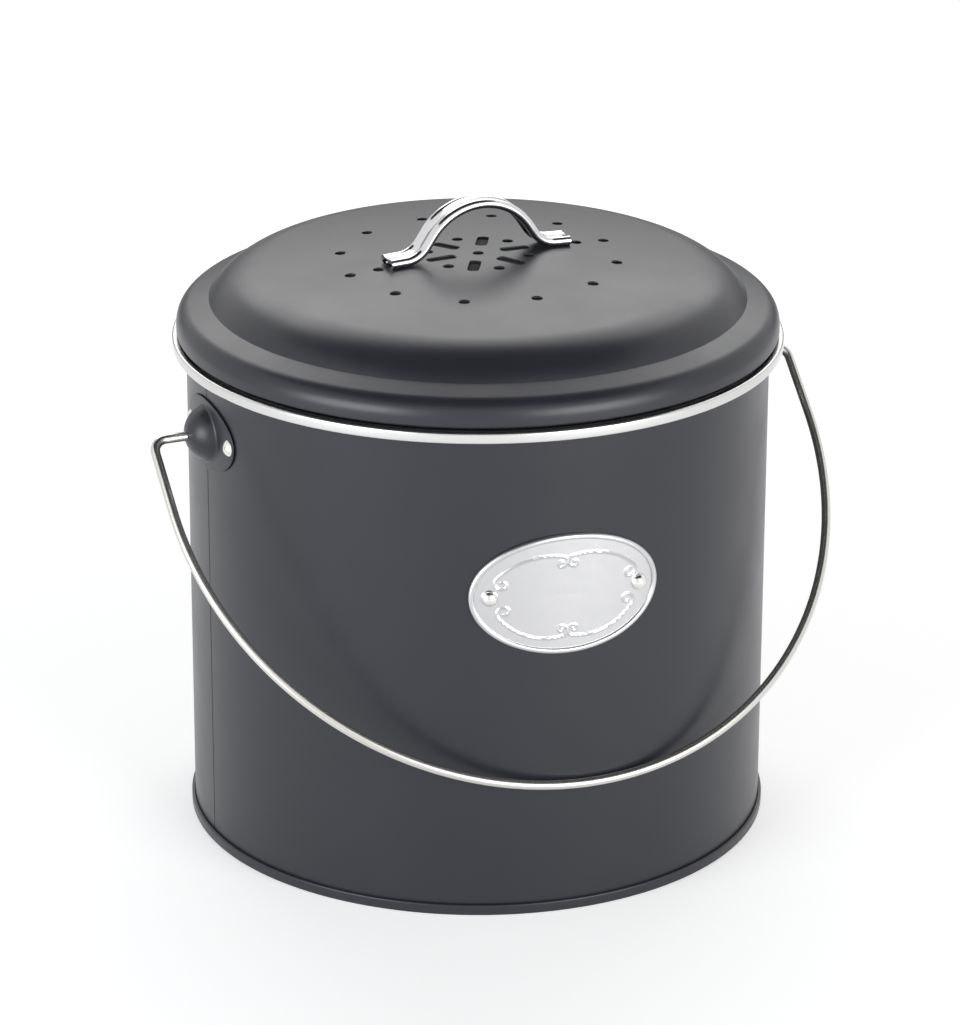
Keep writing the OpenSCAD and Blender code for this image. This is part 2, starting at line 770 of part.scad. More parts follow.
// Stations along one side of the strap, from the crown to the end of the foot.
// Each is a point of its middle line and the slope there.
function strap_side() = concat(
    [for (i = [1:CROWN_STEPS]) let (a = strap_angle * i / CROWN_STEPS)
        [crown_centre + crown_r * [sin(a), cos(a)], a]],
    [for (i = [0:BEND_STEPS]) let (a = strap_angle - foot_turn * i / BEND_STEPS)
        [bend_centre - foot_bend_r * [sin(a), cos(a)], a]],
    [[foot_start + foot_l * [cos(foot_slope), -sin(foot_slope)], foot_slope]]);
function other_side(stations) = [for (s = reversed(stations)) [[-s[0][0], s[0][1]], -s[1]]];

// A closed section swept through stations in the XZ plane
module swept(section, stations) {
    k = len(section);
    last = len(stations) - 1;
    points = [for (s = stations, q = section)
        let (p = s[0] + (q[1] - roll_r) * [sin(s[1]), cos(s[1])]) [p[0], q[0], p[1]]];
    sides = [for (i = [0:last - 1], j = [0:k - 1])
        let (next = (j + 1) % k) [i * k + j, i * k + next, i * k + k + next, i * k + k + j]];
    polyhedron(points, concat(
        sides, [[for (j = [k - 1:-1:0]) j]], [[for (j = [0:k - 1]) last * k + j]]));
}

// What follows, at one screw of the handle: its Z stands square on the lid
module at_screw(side) {
    translate([side * screw_x, strap_back, foot_z]) rotate([0, side * foot_slope, 0]) children();
}

// The space under the lid's nearly flat top, down to the ledge, drop below its outer face
module under_top(drop) {
    path = past_axis(shifted(cap_path(), -drop));
    edge = path[len(path) - 1];
    rotate_extrude() polygon(concat([[0, ledge_z]], path, [[edge[0], ledge_z]]));
}

module lid_handle() {
    color(CHROME) translate([0, strap_back, foot_z])
        swept(strap_section(), concat(
            other_side(strap_side()), [[crown_centre + [0, crown_r], 0]], strap_side()));
}

module handle_screw(side) {
    head_z = -sheet_t - SLACK / 2;
    color(NICKEL) at_screw(side) union() {
        translate([0, 0, head_z]) cylinder(d = screw_d, h = band_under - head_z - SLACK);
        translate([0, 0, head_z - screw_head_h]) difference() {
            cylinder(d = screw_head_d, h = screw_head_h);
            for (a = [0, 90]) rotate([0, 0, a]) translate([-screw_cross_l / 2, -screw_cross_w / 2, -EPS])
                cube([screw_cross_l, screw_cross_w, screw_head_h / 2]);
        }
    }
}

// A square nut welded under the strap's flat band
module handle_nut(side) {
    color(NICKEL) at_screw(side) translate([0, 0, band_under - nut_h]) difference() {
        translate([-nut_w / 2, -nut_w / 2, 0]) cube([nut_w, nut_w, nut_h]);
        translate([0, 0, -SLACK]) cylinder(d = screw_d, h = nut_h + 2 * SLACK);
    }
}

module handle_screw_left() {
    handle_screw(-1);
}

module handle_screw_right() {
    handle_screw(1);
}

module handle_nut_left() {
    handle_nut(-1);
}

module handle_nut_right() {
    handle_nut(1);
}

// ---- Filter ----

module filter_pad() {
    color(CARBON) difference() {
        intersection() {
            translate([0, 0, pad_under]) cylinder(r = pad_r, h = dome_h);
            under_top(sheet_t + SLACK);
        }
        for (side = [-1, 1]) at_screw(side) translate([0, 0, -2 * dome_h]) cylinder(d = pad_hole_d, h = 2 * dome_h);
    }
}

module filter_clip(i) {
    lip_z = pad_under - SLACK - sheet_t;
    color(NICKEL) rotate([0, 0, clip_turn + (i - 1) * 360 / clip_count]) {
        intersection() {
            union() {
                translate([clip_r - clip_lip, -clip_w / 2, lip_z]) cube([clip_lip + sheet_t, clip_w, sheet_t]);
                translate([clip_r, -clip_w / 2, lip_z]) cube([sheet_t, clip_w, dome_h]);
            }
            under_top(sheet_t);
        }
        difference() {
            intersection() {
                translate([clip_r, -clip_w / 2, lip_z]) cube([clip_foot, clip_w, dome_h]);
                under_top(sheet_t);
            }
            under_top(2 * sheet_t);
        }
    }
}

module filter_clip_1() {
    filter_clip(1);
}

module filter_clip_2() {
    filter_clip(2);
}

module filter_clip_3() {
    filter_clip(3);
}

module filter_clip_4() {
    filter_clip(4);
}

// ---- Bail ----

// A bend of the wire in the XZ plane
module wire_bend(r, from, to) {
    rotate([90, 0, 0]) rotate([0, 0, from]) rotate_extrude(angle = to - from)
        translate([r, 0]) circle(d = wire_d);
}

module half_bail() {
    translate([0, 0, -arch_drop]) wire_bend(arch_r, 270, 360);
    translate([arch_r, 0, -arch_drop]) cylinder(d = wire_d, h = arch_drop - corner_r);
    translate([arch_r - corner_r, 0, -corner_r]) wire_bend(corner_r, 0, 90);
    translate([wire_head_x, 0, 0]) rotate([0, 90, 0]) cylinder(d = wire_d, h = arch_r - corner_r - wire_head_x);
    translate([wire_head_x, 0, 0]) rotate([0, 90, 0]) cylinder(d = wire_head_d, h = wire_head_t);
}

module bail_wire() {
    color(NICKEL) translate([0, 0, ear_z]) rotate([-bail_rest, 0, 0]) {
        half_bail();
        mirror([1, 0, 0]) half_bail();
    }
}

body_wall();
base_pan();
rim_trim();
ear_left();
ear_right();
ear_rivet_left_front();
ear_rivet_left_rear();
ear_rivet_right_front();
ear_rivet_right_rear();
badge_plate();
badge_rivet_left();
badge_rivet_right();
hinge_body_leaf();
hinge_pin();
hinge_body_rivet_left();
hinge_body_rivet_right();
lid_shell();
lid_collar();
lid_seal();
lid_handle();
handle_screw_left();
handle_screw_right();
handle_nut_left();
handle_nut_right();
filter_pad();
filter_clip_1();
filter_clip_2();
filter_clip_3();
filter_clip_4();
hinge_lid_leaf();
hinge_lid_rivet_left();
hinge_lid_rivet_right();
bail_wire();
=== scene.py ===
"""Looks of a steel kitchen compost caddy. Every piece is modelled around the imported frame, in metres."""

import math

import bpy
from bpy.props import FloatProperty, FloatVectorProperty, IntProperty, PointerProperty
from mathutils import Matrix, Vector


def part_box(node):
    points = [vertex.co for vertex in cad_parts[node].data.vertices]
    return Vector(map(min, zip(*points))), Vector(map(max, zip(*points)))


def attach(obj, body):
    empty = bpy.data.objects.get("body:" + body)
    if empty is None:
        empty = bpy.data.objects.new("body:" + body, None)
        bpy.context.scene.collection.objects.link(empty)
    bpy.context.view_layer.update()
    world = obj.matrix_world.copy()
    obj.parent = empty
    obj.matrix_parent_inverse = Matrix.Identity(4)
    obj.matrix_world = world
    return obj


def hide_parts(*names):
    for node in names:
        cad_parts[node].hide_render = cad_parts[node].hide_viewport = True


bl_info = {
    "name": "Compost caddy",
    "version": (1, 0, 0),
    "blender": (4, 5, 0),
    "location": "3D View > Sidebar > Caddy",
    "description": "Models a steel compost caddy with a vented lid, a strap handle and a wire bail",
    "category": "Add Mesh",
}

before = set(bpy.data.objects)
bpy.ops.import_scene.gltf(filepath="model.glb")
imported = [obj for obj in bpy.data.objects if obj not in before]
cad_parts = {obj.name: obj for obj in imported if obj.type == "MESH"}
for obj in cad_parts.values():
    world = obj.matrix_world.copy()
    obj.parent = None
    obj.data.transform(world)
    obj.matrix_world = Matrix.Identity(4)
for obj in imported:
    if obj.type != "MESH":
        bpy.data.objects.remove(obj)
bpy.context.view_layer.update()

X, Y, Z = 0, 1, 2
MM = 0.001
TINY = 0.001 * MM
WELD = 3 * TINY
TURN_STEPS = 256
SHARP = math.radians(32)
BUTTON_SPREAD = 1.4
BUTTON_SIDE = 0.7
BADGE_EDGE = 0.3 * MM
BADGE_RING_STEP = 0.3 * MM
FINE_SHARE = 0.72
FRONT_SHARE = 0.625
LEAF_EDGE = 0.2 * MM
PIN_EDGE = 0.25 * MM
HINGE_RIVET_EDGE = 0.05 * MM
SCREW_EDGE = 0.15 * MM
NUT_EDGE = 0.12 * MM
CLIP_EDGE = 0.15 * MM
PAD_EDGE = 0.8 * MM
MARK_DEPTH = 0.03 * MM
DENT_DEPTH = 0.04 * MM
FRONT = 270
LEFT = 180
RIGHT = 360


# ---- Sizes and finishes that a user would change ----


def metres(name, description, default):
    """A size in metres."""
    return FloatProperty(name=name, description=description, default=default, unit="LENGTH")


def degrees(name, description, default):
    """An angle, whose default is given in degrees."""
    return FloatProperty(
        name=name, description=description, default=math.radians(default), subtype="ANGLE")


def number(name, description, default):
    """A plain value."""
    return FloatProperty(name=name, description=description, default=default)


def rgb(name, description, default):
    """A colour or a tint."""
    return FloatVectorProperty(name=name, description=description, default=default, subtype="COLOR")


class CaddyPail(bpy.types.PropertyGroup):
    """Sizes of the pail, its base and its rim."""

    wall_radius: metres("Wall radius", "Outside radius of the wall", 0.1075)
    sheet: metres("Sheet", "Thickness of the painted sheet", 0.0008)
    seam_round: metres("Seam rounding", "Rounding of the folded seam round the base", 0.0006)
    floor_z: metres("Floor height", "Height of the floor's upper face", 0.004)
    panel_radius: metres("Panel radius", "Radius of the sunk panel in the floor", 0.086)
    panel_drop: metres("Panel drop", "How far the floor panel is sunk", 0.0012)
    flange_bend: metres("Flange bend", "Inside radius of the bend below the rim band", 0.0016)
    seam_width: metres("Side seam width", "Width of the side seam's line", 0.0006)
    seam_depth: metres("Side seam depth", "Depth of the side seam's line", 0.0001)
    lap_width: metres("Lap width", "Width of the lap inside the side seam", 0.007)
    lap: metres("Lap", "Thickness of the lap inside the side seam", 0.0006)
    band: metres("Band metal", "Thickness of the rim band's metal", 0.0007)
    band_round: metres("Band rounding", "Rounding of the rim band's edges", 0.0009)


class CaddyLid(bpy.types.PropertyGroup):
    """Sizes of the lid and its vents."""

    ledge_z: metres("Ledge height", "Height of the crease where the ledge meets the dome", 0.2006)
    ledge_slope: degrees("Ledge slope", "Slope of the ledge, falling towards the edge", 17.4)
    edge_radius: metres("Edge radius", "Rounding between ledge and skirt", 0.0073)
    hem_radius: metres("Hem radius", "Radius of the rolled hem", 0.0009)
    crease_radius: metres("Crease radius", "Radius of the crease at the dome's foot", 0.0989)
    shoulder_radius: metres("Shoulder radius", "Radius of the dome's shoulder", 0.026)
    cap_radius: metres("Cap radius", "Radius of the nearly flat top", 0.700)
    vent_diameter: metres("Vent diameter", "Diameter of a round vent", 0.0039)
    vent_lip: metres("Vent lip", "Rounding that the coat leaves round a vent", 0.0003)
    ring_radius: metres("Ring radius", "Radius of the outer ring of vents", 0.051)
    ring_count: IntProperty(
        name="Ring count", description="Number of vents in the outer ring", default=12)
    inner_radius: metres("Inner ring", "Radius of the vents between the slots", 0.0186)
    slot_count: IntProperty(name="Slot count", description="Number of slots", default=6)
    slot_radius: metres("Slot radius", "Middle radius of the slots", 0.0148)
    slot_length: metres("Slot length", "Length of a slot", 0.0112)
    slot_width: metres("Slot width", "Width of a slot", 0.0042)
    slot_corner: metres("Slot corner", "Corner radius of a slot", 0.0016)
    end_vent_radius: metres("End vents", "Radius of the two vents past the handle's ends", 0.0398)
    collar_flange: metres("Collar flange", "Width of the collar's flange under the ledge", 0.0051)
    collar_bend: metres("Collar bend", "Rounding between the collar and its flange", 0.0012)
    seal_round: metres("Seal rounding", "Rounding of the seal's outer edges", 0.0005)


class CaddyStrap(bpy.types.PropertyGroup):
    """Sizes of the strap handle on the lid."""

    width: metres("Width", "Width of the strap", 0.0106)
    height: metres("Height", "Height of the strap's section", 0.0035)
    metal: metres("Metal", "Thickness of the strap's metal", 0.0008)
    dip: metres("Dip", "How far the flat band lies below the rolled edges", 0.00035)
    slit: metres("Slit", "Width of the slit under the strap", 0.0064)
    span: metres("Span", "Length from end to end", 0.0716)
    rise: metres("Rise", "Height of the crown above the feet", 0.0184)
    slope: degrees("Slope", "Slope of the strap's sides", 56)
    crown_radius: metres("Crown radius", "Radius of the crown", 0.0233)
    foot_bend: metres("Foot bend", "Radius of the bend above each foot", 0.010)
    screw_x: metres("Screw place", "Distance of each screw from the middle", 0.032)


class CaddyBail(bpy.types.PropertyGroup):
    """Sizes of the wire bail and its ears."""

    wire: metres("Wire", "Diameter of the wire", 0.0035)
    arch_radius: metres("Arch radius", "Radius of the bail's arch", 0.1287)
    arch_drop: metres("Arch drop", "Drop of the arch's centre below the bail's axis", 0.028)
    corner: metres("Corner", "Bend radius at the two corners", 0.005)
    rest_gap: metres("Rest gap", "Gap between the hanging bail and the wall", 0.0003)
    head: metres("Head", "Diameter of the head on each end", 0.0064)
    head_length: metres("Head length", "Thickness of the head on each end", 0.0015)
    head_stand: metres("Head place", "Distance from the wall to each head", 0.0012)
    clearance: metres("Clearance", "Clearance round the wire in the ears", 0.0001)
    axis_z: metres("Axis height", "Height of the bail's axis", 0.162)
    ear_width: metres("Ear width", "Width of an ear plate along the wall", 0.044)
    ear_height: metres("Ear height", "Height of an ear plate", 0.0265)
    ear_sheet: metres("Ear sheet", "Thickness of an ear plate", 0.0008)
    dome: metres("Dome", "Diameter of an ear's dome", 0.0206)
    dome_height: metres("Dome height", "Height of an ear's dome above its plate", 0.0075)
    dome_fillet: metres("Dome fillet", "Hollow rounding at the dome's foot", 0.0013)
    rivet_span: metres("Rivet span", "Spacing of an ear's two rivets", 0.036)
    rivet_head: metres("Rivet head", "Diameter of an ear rivet's head", 0.006)
    rivet_rise: metres("Rivet rise", "Height of an ear rivet's head", 0.0015)


class CaddyBadge(bpy.types.PropertyGroup):
    """Sizes of the badge plate."""

    width: metres("Width", "Length of the oval plate", 0.071)
    height: metres("Height", "Height of the oval plate", 0.0454)
    centre_z: metres("Centre height", "Height of the plate's middle", 0.1237)
    turn: degrees("Turn", "Angle from the front towards the left ear", 7.3)
    plate: metres("Plate", "Thickness of the plate", 0.0008)
    border: metres("Border width", "Width of the raised border", 0.0022)
    border_height: metres("Border height", "Height of the border above the plate", 0.0009)
    line_width: metres("Line width", "Width of the raised scroll lines", 0.0013)
    line_height: metres("Line height", "Height of the raised scroll lines", 0.0004)
    rivet_span: metres("Rivet span", "Spacing of the two rivets", 0.0562)
    rivet_head: metres("Rivet head", "Diameter of a badge rivet's head", 0.0062)
    rivet_rise: metres("Rivet rise", "Height of a badge rivet's head", 0.0024)


class CaddyFinish(bpy.types.PropertyGroup):
    """Colours of the finishes."""

    coat: rgb("Coat", "Anthracite powder coat", (0.016, 0.017, 0.023))
    band: rgb("Rim band", "Bright tinned band", (0.66, 0.66, 0.65))
    chrome: rgb("Strap", "Polished chrome strap", (0.70, 0.70, 0.71))
    badge: rgb("Badge", "Bright pressed plate", (0.58, 0.58, 0.59))
    rivet: rgb("Rivets", "Plated rivet heads", (0.80, 0.79, 0.76))
    wire: rgb("Bail wire", "Nickel-plated wire", (0.66, 0.65, 0.62))
    zinc: rgb("Zinc", "Zinc-plated small parts", (0.60, 0.61, 0.63))
    rubber: rgb("Seal", "Black rubber seal", (0.012, 0.012, 0.013))
    felt: rgb("Filter", "Black carbon felt", (0.006, 0.006, 0.0065))


class CaddyStudio(bpy.types.PropertyGroup):
    """The camera and the light."""

    azimuth: degrees("Azimuth", "Turn of the camera round the caddy, from the front", -24.5)
    elevation: degrees("Elevation", "How far the camera looks down", 21.28)
    roll: degrees("Roll", "Turn of the camera round its line of sight", 0.18)
    distance: metres("Distance", "Distance of the camera from its target", 1.720)
    target_z: metres("Target height", "Height of the camera's target", 0.11406)
    sideways: metres("Sideways", "Shift of camera and target to the right", 0.00097)
    lens: number("Lens", "Focal length in millimetres", 161.3)
    world: number("World", "Strength of the even light from all round", 0.35)
    floor_glow: number("Floor glow", "Light of its own that the floor shows to the camera", 0.42)
    floor: metres("Floor width", "Width of the pale floor", 12)
    ceiling_z: metres("Ceiling height", "Height of the dark ceiling", 1.7)
    ceiling: metres("Ceiling width", "Width of the dark ceiling", 2.5)
    screen_width: metres("Screen width", "Width of the grey screen behind the caddy", 2.4)
    screen_height: metres("Screen height", "Height of the grey screen", 0.4)
    screen_z: metres("Screen place", "Height of the screen's middle", 0.21)
    screen_distance: metres("Screen distance", "Distance of the screen from the caddy", 1.6)
    softbox_distance: metres("Softbox distance", "Distance of the softboxes from the caddy", 1.5)
    left_turn: degrees("Left softbox", "Turn of the left softbox from the camera", 46)
    right_turn: degrees("Right softbox", "Turn of the right softbox from the camera", 42)
    left_tint: rgb("Left tint", "Tint of the left softbox", (0.93, 0.96, 1))
    front_elevation: degrees("Front softbox height", "Elevation of the two front softboxes", 11)
    front_width: metres("Front softbox width", "Width of the two front softboxes", 1.0)
    front_height: metres("Front softbox size", "Height of the two front softboxes", 0.78)
    rear_elevation: degrees("Rear softbox height", "Elevation of the rear softbox", 45)
    rear_width: metres("Rear softbox width", "Width of the rear softbox", 1.6)
    rear_height: metres("Rear softbox size", "Height of the rear softbox", 1.1)
    front_glow: number("Front softboxes", "Brightness of the two softboxes beside the camera", 5.4)
    rear_glow: number("Rear softbox", "Brightness of the softbox above and behind the caddy", 2.0)


# ---- Modelling helpers ----


def check(result):
    """Stops the script if an operator did not finish."""
    if "FINISHED" not in result:
        raise RuntimeError("an operator did not finish")


def low(node, axis):
    """Lowest coordinate of a frame node on an axis."""
    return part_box(node)[0][axis]


def high(node, axis):
    """Highest coordinate of a frame node on an axis."""
    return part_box(node)[1][axis]


def clear_selection():
    """Goes to object mode with nothing selected."""
    if bpy.context.object and bpy.context.object.mode != "OBJECT":
        bpy.ops.object.mode_set(mode="OBJECT")
    bpy.ops.object.select_all(action="DESELECT")


def activate(obj):
    """Selects obj alone and makes it the active object."""
    clear_selection()
    obj.select_set(True)
    bpy.context.view_layer.objects.active = obj


def name_object(obj, name):
    """Gives an object and its mesh one name."""
    obj.name = name
    obj.data.name = name


def weld():
    """Merges the points of the mesh in edit mode that lie on each other."""
    bpy.ops.mesh.select_all(action="SELECT")
    bpy.ops.mesh.remove_doubles(threshold=WELD)


def close_shell(fill=False):
    """Welds the mesh in edit mode, fills its open ends if asked, and turns its faces outwards."""
    weld()
    if fill:
        bpy.ops.mesh.select_all(action="SELECT")
        bpy.ops.mesh.fill_holes(sides=0)
        bpy.ops.mesh.select_all(action="SELECT")
    bpy.ops.mesh.normals_make_consistent(inside=False)
    bpy.ops.object.mode_set(mode="OBJECT")


def draw_line(name, points):
    """Starts a mesh and draws a line through the points in edit mode."""
    clear_selection()
    bpy.ops.mesh.primitive_plane_add(size=MM)
    name_object(bpy.context.object, name)
    bpy.ops.object.mode_set(mode="EDIT")
    bpy.ops.mesh.select_all(action="SELECT")
    bpy.ops.mesh.merge(type="CENTER")
    bpy.ops.transform.translate(value=points[0])
    for start, end in zip(points, points[1:]):
        bpy.ops.mesh.extrude_region_move(TRANSFORM_OT_translate={"value": end - start})
    return bpy.context.object


def draw_loop(name, points):
    """Starts a mesh in edit mode with a closed loop through the points, all of it selected."""
    obj = draw_line(name, points + points[:1])
    weld()
    bpy.ops.mesh.select_all(action="SELECT")
    return obj


def revolved(name, outline, steps=TURN_STEPS):
    """A shell turned round Z from (radius, height) points. An outline off the axis is closed first."""
    points = [Vector((p[0], 0, p[1])) for p in outline]
    on_axis = outline[0][0] == 0 and outline[-1][0] == 0
    obj = draw_line(name, points if on_axis else points + points[:1])
    weld()
    bpy.ops.mesh.select_all(action="SELECT")
    check(bpy.ops.mesh.spin(steps=steps, angle=math.tau, center=(0, 0, 0), axis=(0, 0, 1)))
    close_shell()
    return obj


def arc(centre, radius, start, end, steps):
    """Points on an arc of (radius, height), with angles in degrees clockwise from straight up."""
    angles = [math.radians(start + (end - start) * i / steps) for i in range(steps + 1)]
    return [Vector((centre[0] + radius * math.sin(a), centre[1] + radius * math.cos(a))) for a in angles]


def beside(path, distance):
    """A flat path moved sideways by distance, to the right of its direction."""
    moved = []
    for i, point in enumerate(path):
        before = path[max(i, 1)] - path[max(i, 1) - 1]
        j = min(i, len(path) - 2)
        after = path[j + 1] - path[j]
        first = Vector((before.y, -before.x)).normalized()
        middle = (first + Vector((after.y, -after.x)).normalized()).normalized()
        moved.append(point + middle * distance / middle.dot(first))
    return moved


def sheet_outline(path, thickness):
    """The outline of a sheet whose one face follows the path and whose other lies to its right."""
    other = [Vector((max(p.x, 0), p.y)) for p in beside(path, thickness)]
    return path + other[::-1]


def ringed(name, stations, vertices):
    """A shell of oval rings round -Y. Each station is (half width, half height, height off the wall)."""
    width, height, stand = stations[0]
    clear_selection()
    bpy.ops.mesh.primitive_circle_add(vertices=vertices, radius=width, rotation=(math.pi / 2, 0, 0))
    obj = bpy.context.object
    name_object(obj, name)
    bpy.ops.object.transform_apply(location=True, rotation=True, scale=True)
    bpy.ops.object.mode_set(mode="EDIT")
    bpy.ops.mesh.select_all(action="SELECT")
    bpy.ops.transform.resize(value=(1, 1, height / width), center_override=(0, 0, 0))
    bpy.ops.transform.translate(value=(0, -stand, 0))
    for next_width, next_height, next_stand in stations[1:]:
        bpy.ops.mesh.extrude_region_move(TRANSFORM_OT_translate={"value": (0, stand - next_stand, 0)})
        bpy.ops.transform.resize(
            value=(next_width / width, 1, next_height / height), center_override=(0, 0, 0))
        width, height, stand = next_width, next_height, next_stand
    weld()
    return obj


def modify(obj, kind, **settings):
    """Adds a modifier to obj and applies it."""
    activate(obj)
    bpy.ops.object.modifier_add(type=kind)
    modifier = obj.modifiers[-1]
    for key, value in settings.items():
        setattr(modifier, key, value)
    check(bpy.ops.object.modifier_apply(modifier=modifier.name))


def join(objects, name):
    """Joins objects into one."""
    activate(objects[0])
    for obj in objects:
        obj.select_set(True)
    bpy.ops.object.join()
    name_object(bpy.context.object, name)
    return bpy.context.object


def cut(obj, cutter):
    """Cuts the cutter out of obj and removes the cutter."""
    modify(obj, "BOOLEAN", operation="DIFFERENCE", solver="EXACT", object=cutter)
    activate(cutter)
    bpy.ops.object.delete()


def copied(obj, name):
    """A copy of obj with a mesh of its own."""
    activate(obj)
    bpy.ops.object.duplicate(linked=False)
    name_object(bpy.context.object, name)
    return bpy.context.object


def settle(obj, location=(0, 0, 0), rotation=(0, 0, 0)):
    """Moves and turns obj, and puts its place into its mesh."""
    activate(obj)
    obj.location = location
    obj.rotation_euler = rotation
    bpy.ops.object.transform_apply(location=True, rotation=True, scale=True)
    return obj


def put_on_wall(obj, radius, azimuth, height):
    """Carries obj, which faces -Y at the origin, to a place on a cylinder round Z."""
    settle(obj, location=(0, -radius, height))
    return settle(obj, rotation=(0, 0, math.radians(azimuth - FRONT)))


def bend_to_wall(obj, radius, width):
    """Bends a flat piece of that width, which faces -Y, to a cylinder."""
    modify(obj, "SIMPLE_DEFORM", deform_method="BEND", deform_axis="Z", angle=width / radius)


def softened(node, name, radius, segments=2):
    """A welded copy of a frame node with rounded edges."""
    obj = copied(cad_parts[node], name)
    activate(obj)
    obj.parent = None
    for key in list(obj.keys()):
        del obj[key]
    bpy.ops.object.mode_set(mode="EDIT")
    weld()
    bpy.ops.mesh.select_all(action="SELECT")
    bpy.ops.mesh.dissolve_limited(angle_limit=math.radians(0.5))
    bpy.ops.object.mode_set(mode="OBJECT")
    modify(
        obj, "BEVEL", width=radius, segments=segments, limit_method="ANGLE",
        angle_limit=math.radians(40), use_clamp_overlap=True)
    return obj


def finish_piece(obj, body, slot, *nodes):
    """Smooths a piece, gives it its finish, parents it to the empty of the body it rides on and hides the
    frame nodes it stands for.
    """
    activate(obj)
    check(bpy.ops.object.shade_smooth_by_angle(angle=SHARP))
    obj.data.materials.clear()
    obj.data.materials.append(finish_of(slot))
    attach(obj, body)
    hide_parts(*nodes)


class FlatPath:
    """Carries the selected loop along a path in the XZ plane."""

    def __init__(self, point, heading):
        self.point = Vector(point)
        self.heading = heading

    def along(self):
        """The direction of travel."""
        return Vector((math.cos(self.heading), 0, math.sin(self.heading)))

    def left(self):
        """The direction to the left of the travel."""
        return Vector((-math.sin(self.heading), 0, math.cos(self.heading)))

    def run(self, length):
        """Goes straight on."""
        step = self.along() * length
        bpy.ops.mesh.extrude_region_move(TRANSFORM_OT_translate={"value": step})
        self.point += step

    def bend(self, radius, angle, steps):
        """Turns through angle, to the left where it is positive."""
        centre = self.point + self.left() * math.copysign(radius, angle)
        check(bpy.ops.mesh.spin(steps=steps, angle=angle, center=centre, axis=(0, 1, 0)))
        self.point = centre + Matrix.Rotation(-angle, 3, "Y") @ (self.point - centre)
        self.heading += angle

    def widen(self, factor):
        """Makes the loop larger or smaller in place."""
        bpy.ops.mesh.extrude_region_move(TRANSFORM_OT_translate={"value": (0, 0, 0)})
        bpy.ops.transform.resize(value=(factor, factor, factor), center_override=self.point)


# ---- Finishes ----


def new_material(name, colour, metallic, roughness):
    """A material with its shader's even values set."""
    material = bpy.data.materials.new(name)
    material.use_nodes = True
    shader = material.node_tree.nodes["Principled BSDF"]
    shader.inputs["Base Color"].default_value = (*colour, 1)
    shader.inputs["Metallic"].default_value = metallic
    shader.inputs["Roughness"].default_value = roughness
    return material, shader


def add_node(tree, kind, inputs, **settings):
    """A node with its settings, whose inputs take values or links."""
    node = tree.nodes.new(kind)
    for key, value in settings.items():
        setattr(node, key, value)
    for key, value in inputs.items():
        if isinstance(value, bpy.types.NodeSocket):
            tree.links.new(value, node.inputs[key])
        else:
            node.inputs[key].default_value = value
    return node


def stretched(tree, scale):
    """Object coordinates, stretched by a scale on each axis."""
    place = add_node(tree, "ShaderNodeTexCoord", {})
    mapping = add_node(
        tree, "ShaderNodeMapping", {"Vector": place.outputs["Object"], "Scale": scale})
    return mapping.outputs["Vector"]


def noise(tree, vector, scale, detail=3.0):
    """A noise pattern, by its number of blobs to a metre."""
    node = add_node(tree, "ShaderNodeTexNoise", {"Vector": vector, "Scale": scale, "Detail": detail})
    return node.outputs["Fac"]


def mapped(tree, value, low_in, high_in, low_out, high_out):
    """A value carried from one range to another."""
    node = add_node(tree, "ShaderNodeMapRange", {
        "Value": value, "From Min": low_in, "From Max": high_in, "To Min": low_out, "To Max": high_out})
    return node.outputs["Result"]


def bump(tree, height, distance, strength, below=None):
    """A bump of that depth, on top of another where one is given."""
    inputs = {"Height": height, "Distance": distance, "Strength": strength}
    if below:
        inputs["Normal"] = below
    return add_node(tree, "ShaderNodeBump", inputs).outputs["Normal"]


def vary_roughness(tree, shader, pattern, least, most):
    """Lets the roughness follow a pattern."""
    tree.links.new(mapped(tree, pattern, 0.3, 0.7, least, most), shader.inputs["Roughness"])


def powder_coat(finish):
    """Satin anthracite powder coat with a fine orange peel."""
    material, shader = new_material("anthracite_coat", finish.coat, 0.0, 0.34)
    tree = material.node_tree
    place = stretched(tree, (1, 1, 1))
    peel = bump(tree, noise(tree, place, 1400, 2), 0.00004, 0.35)
    tree.links.new(peel, shader.inputs["Normal"])
    vary_roughness(tree, shader, noise(tree, place, 45), 0.32, 0.37)
    return material


def bright_metal(name, colour, roughness, grain, wear):
    """Plated metal with smudges and fine marks. Grain is the pattern's stretch on each axis."""
    material, shader = new_material(name, colour, 1.0, roughness)
    tree = material.node_tree
    marks = noise(tree, stretched(tree, grain), 2400, 3)
    dents = noise(tree, stretched(tree, (1, 1, 1)), 300, 2)
    lower = bump(tree, dents, DENT_DEPTH, wear)
    tree.links.new(bump(tree, marks, MARK_DEPTH, wear, lower), shader.inputs["Normal"])
    vary_roughness(tree, shader, dents, roughness * 0.94, roughness * 1.08)
    return material


def rubber(finish):
    """Matt black rubber."""
    material, shader = new_material("seal_rubber", finish.rubber, 0.0, 0.75)
    tree = material.node_tree
    grain = noise(tree, stretched(tree, (1, 1, 1)), 2500, 2)
    tree.links.new(bump(tree, grain, 0.00003, 0.3), shader.inputs["Normal"])
    return material


def carbon_felt(finish):
    """Black felt with matted fibres."""
    material, shader = new_material("carbon_felt", finish.felt, 0.0, 0.95)
    tree = material.node_tree
    fibres = noise(tree, stretched(tree, (1, 1, 0.3)), 1800, 6)
    tufts = noise(tree, stretched(tree, (1, 1, 1)), 260, 3)
    lower = bump(tree, tufts, 0.0006, 0.5)
    tree.links.new(bump(tree, fibres, 0.0004, 0.8, lower), shader.inputs["Normal"])
    shade = add_node(tree, "ShaderNodeMix", {
        "Factor": mapped(tree, fibres, 0.35, 0.65, 0, 1),
        "A": (*[c * 0.5 for c in finish.felt], 1),
        "B": (*[c * 1.5 for c in finish.felt], 1)}, data_type="RGBA")
    tree.links.new(shade.outputs["Result"], shader.inputs["Base Color"])
    shader.inputs["Specular IOR Level"].default_value = 0.15
    return material


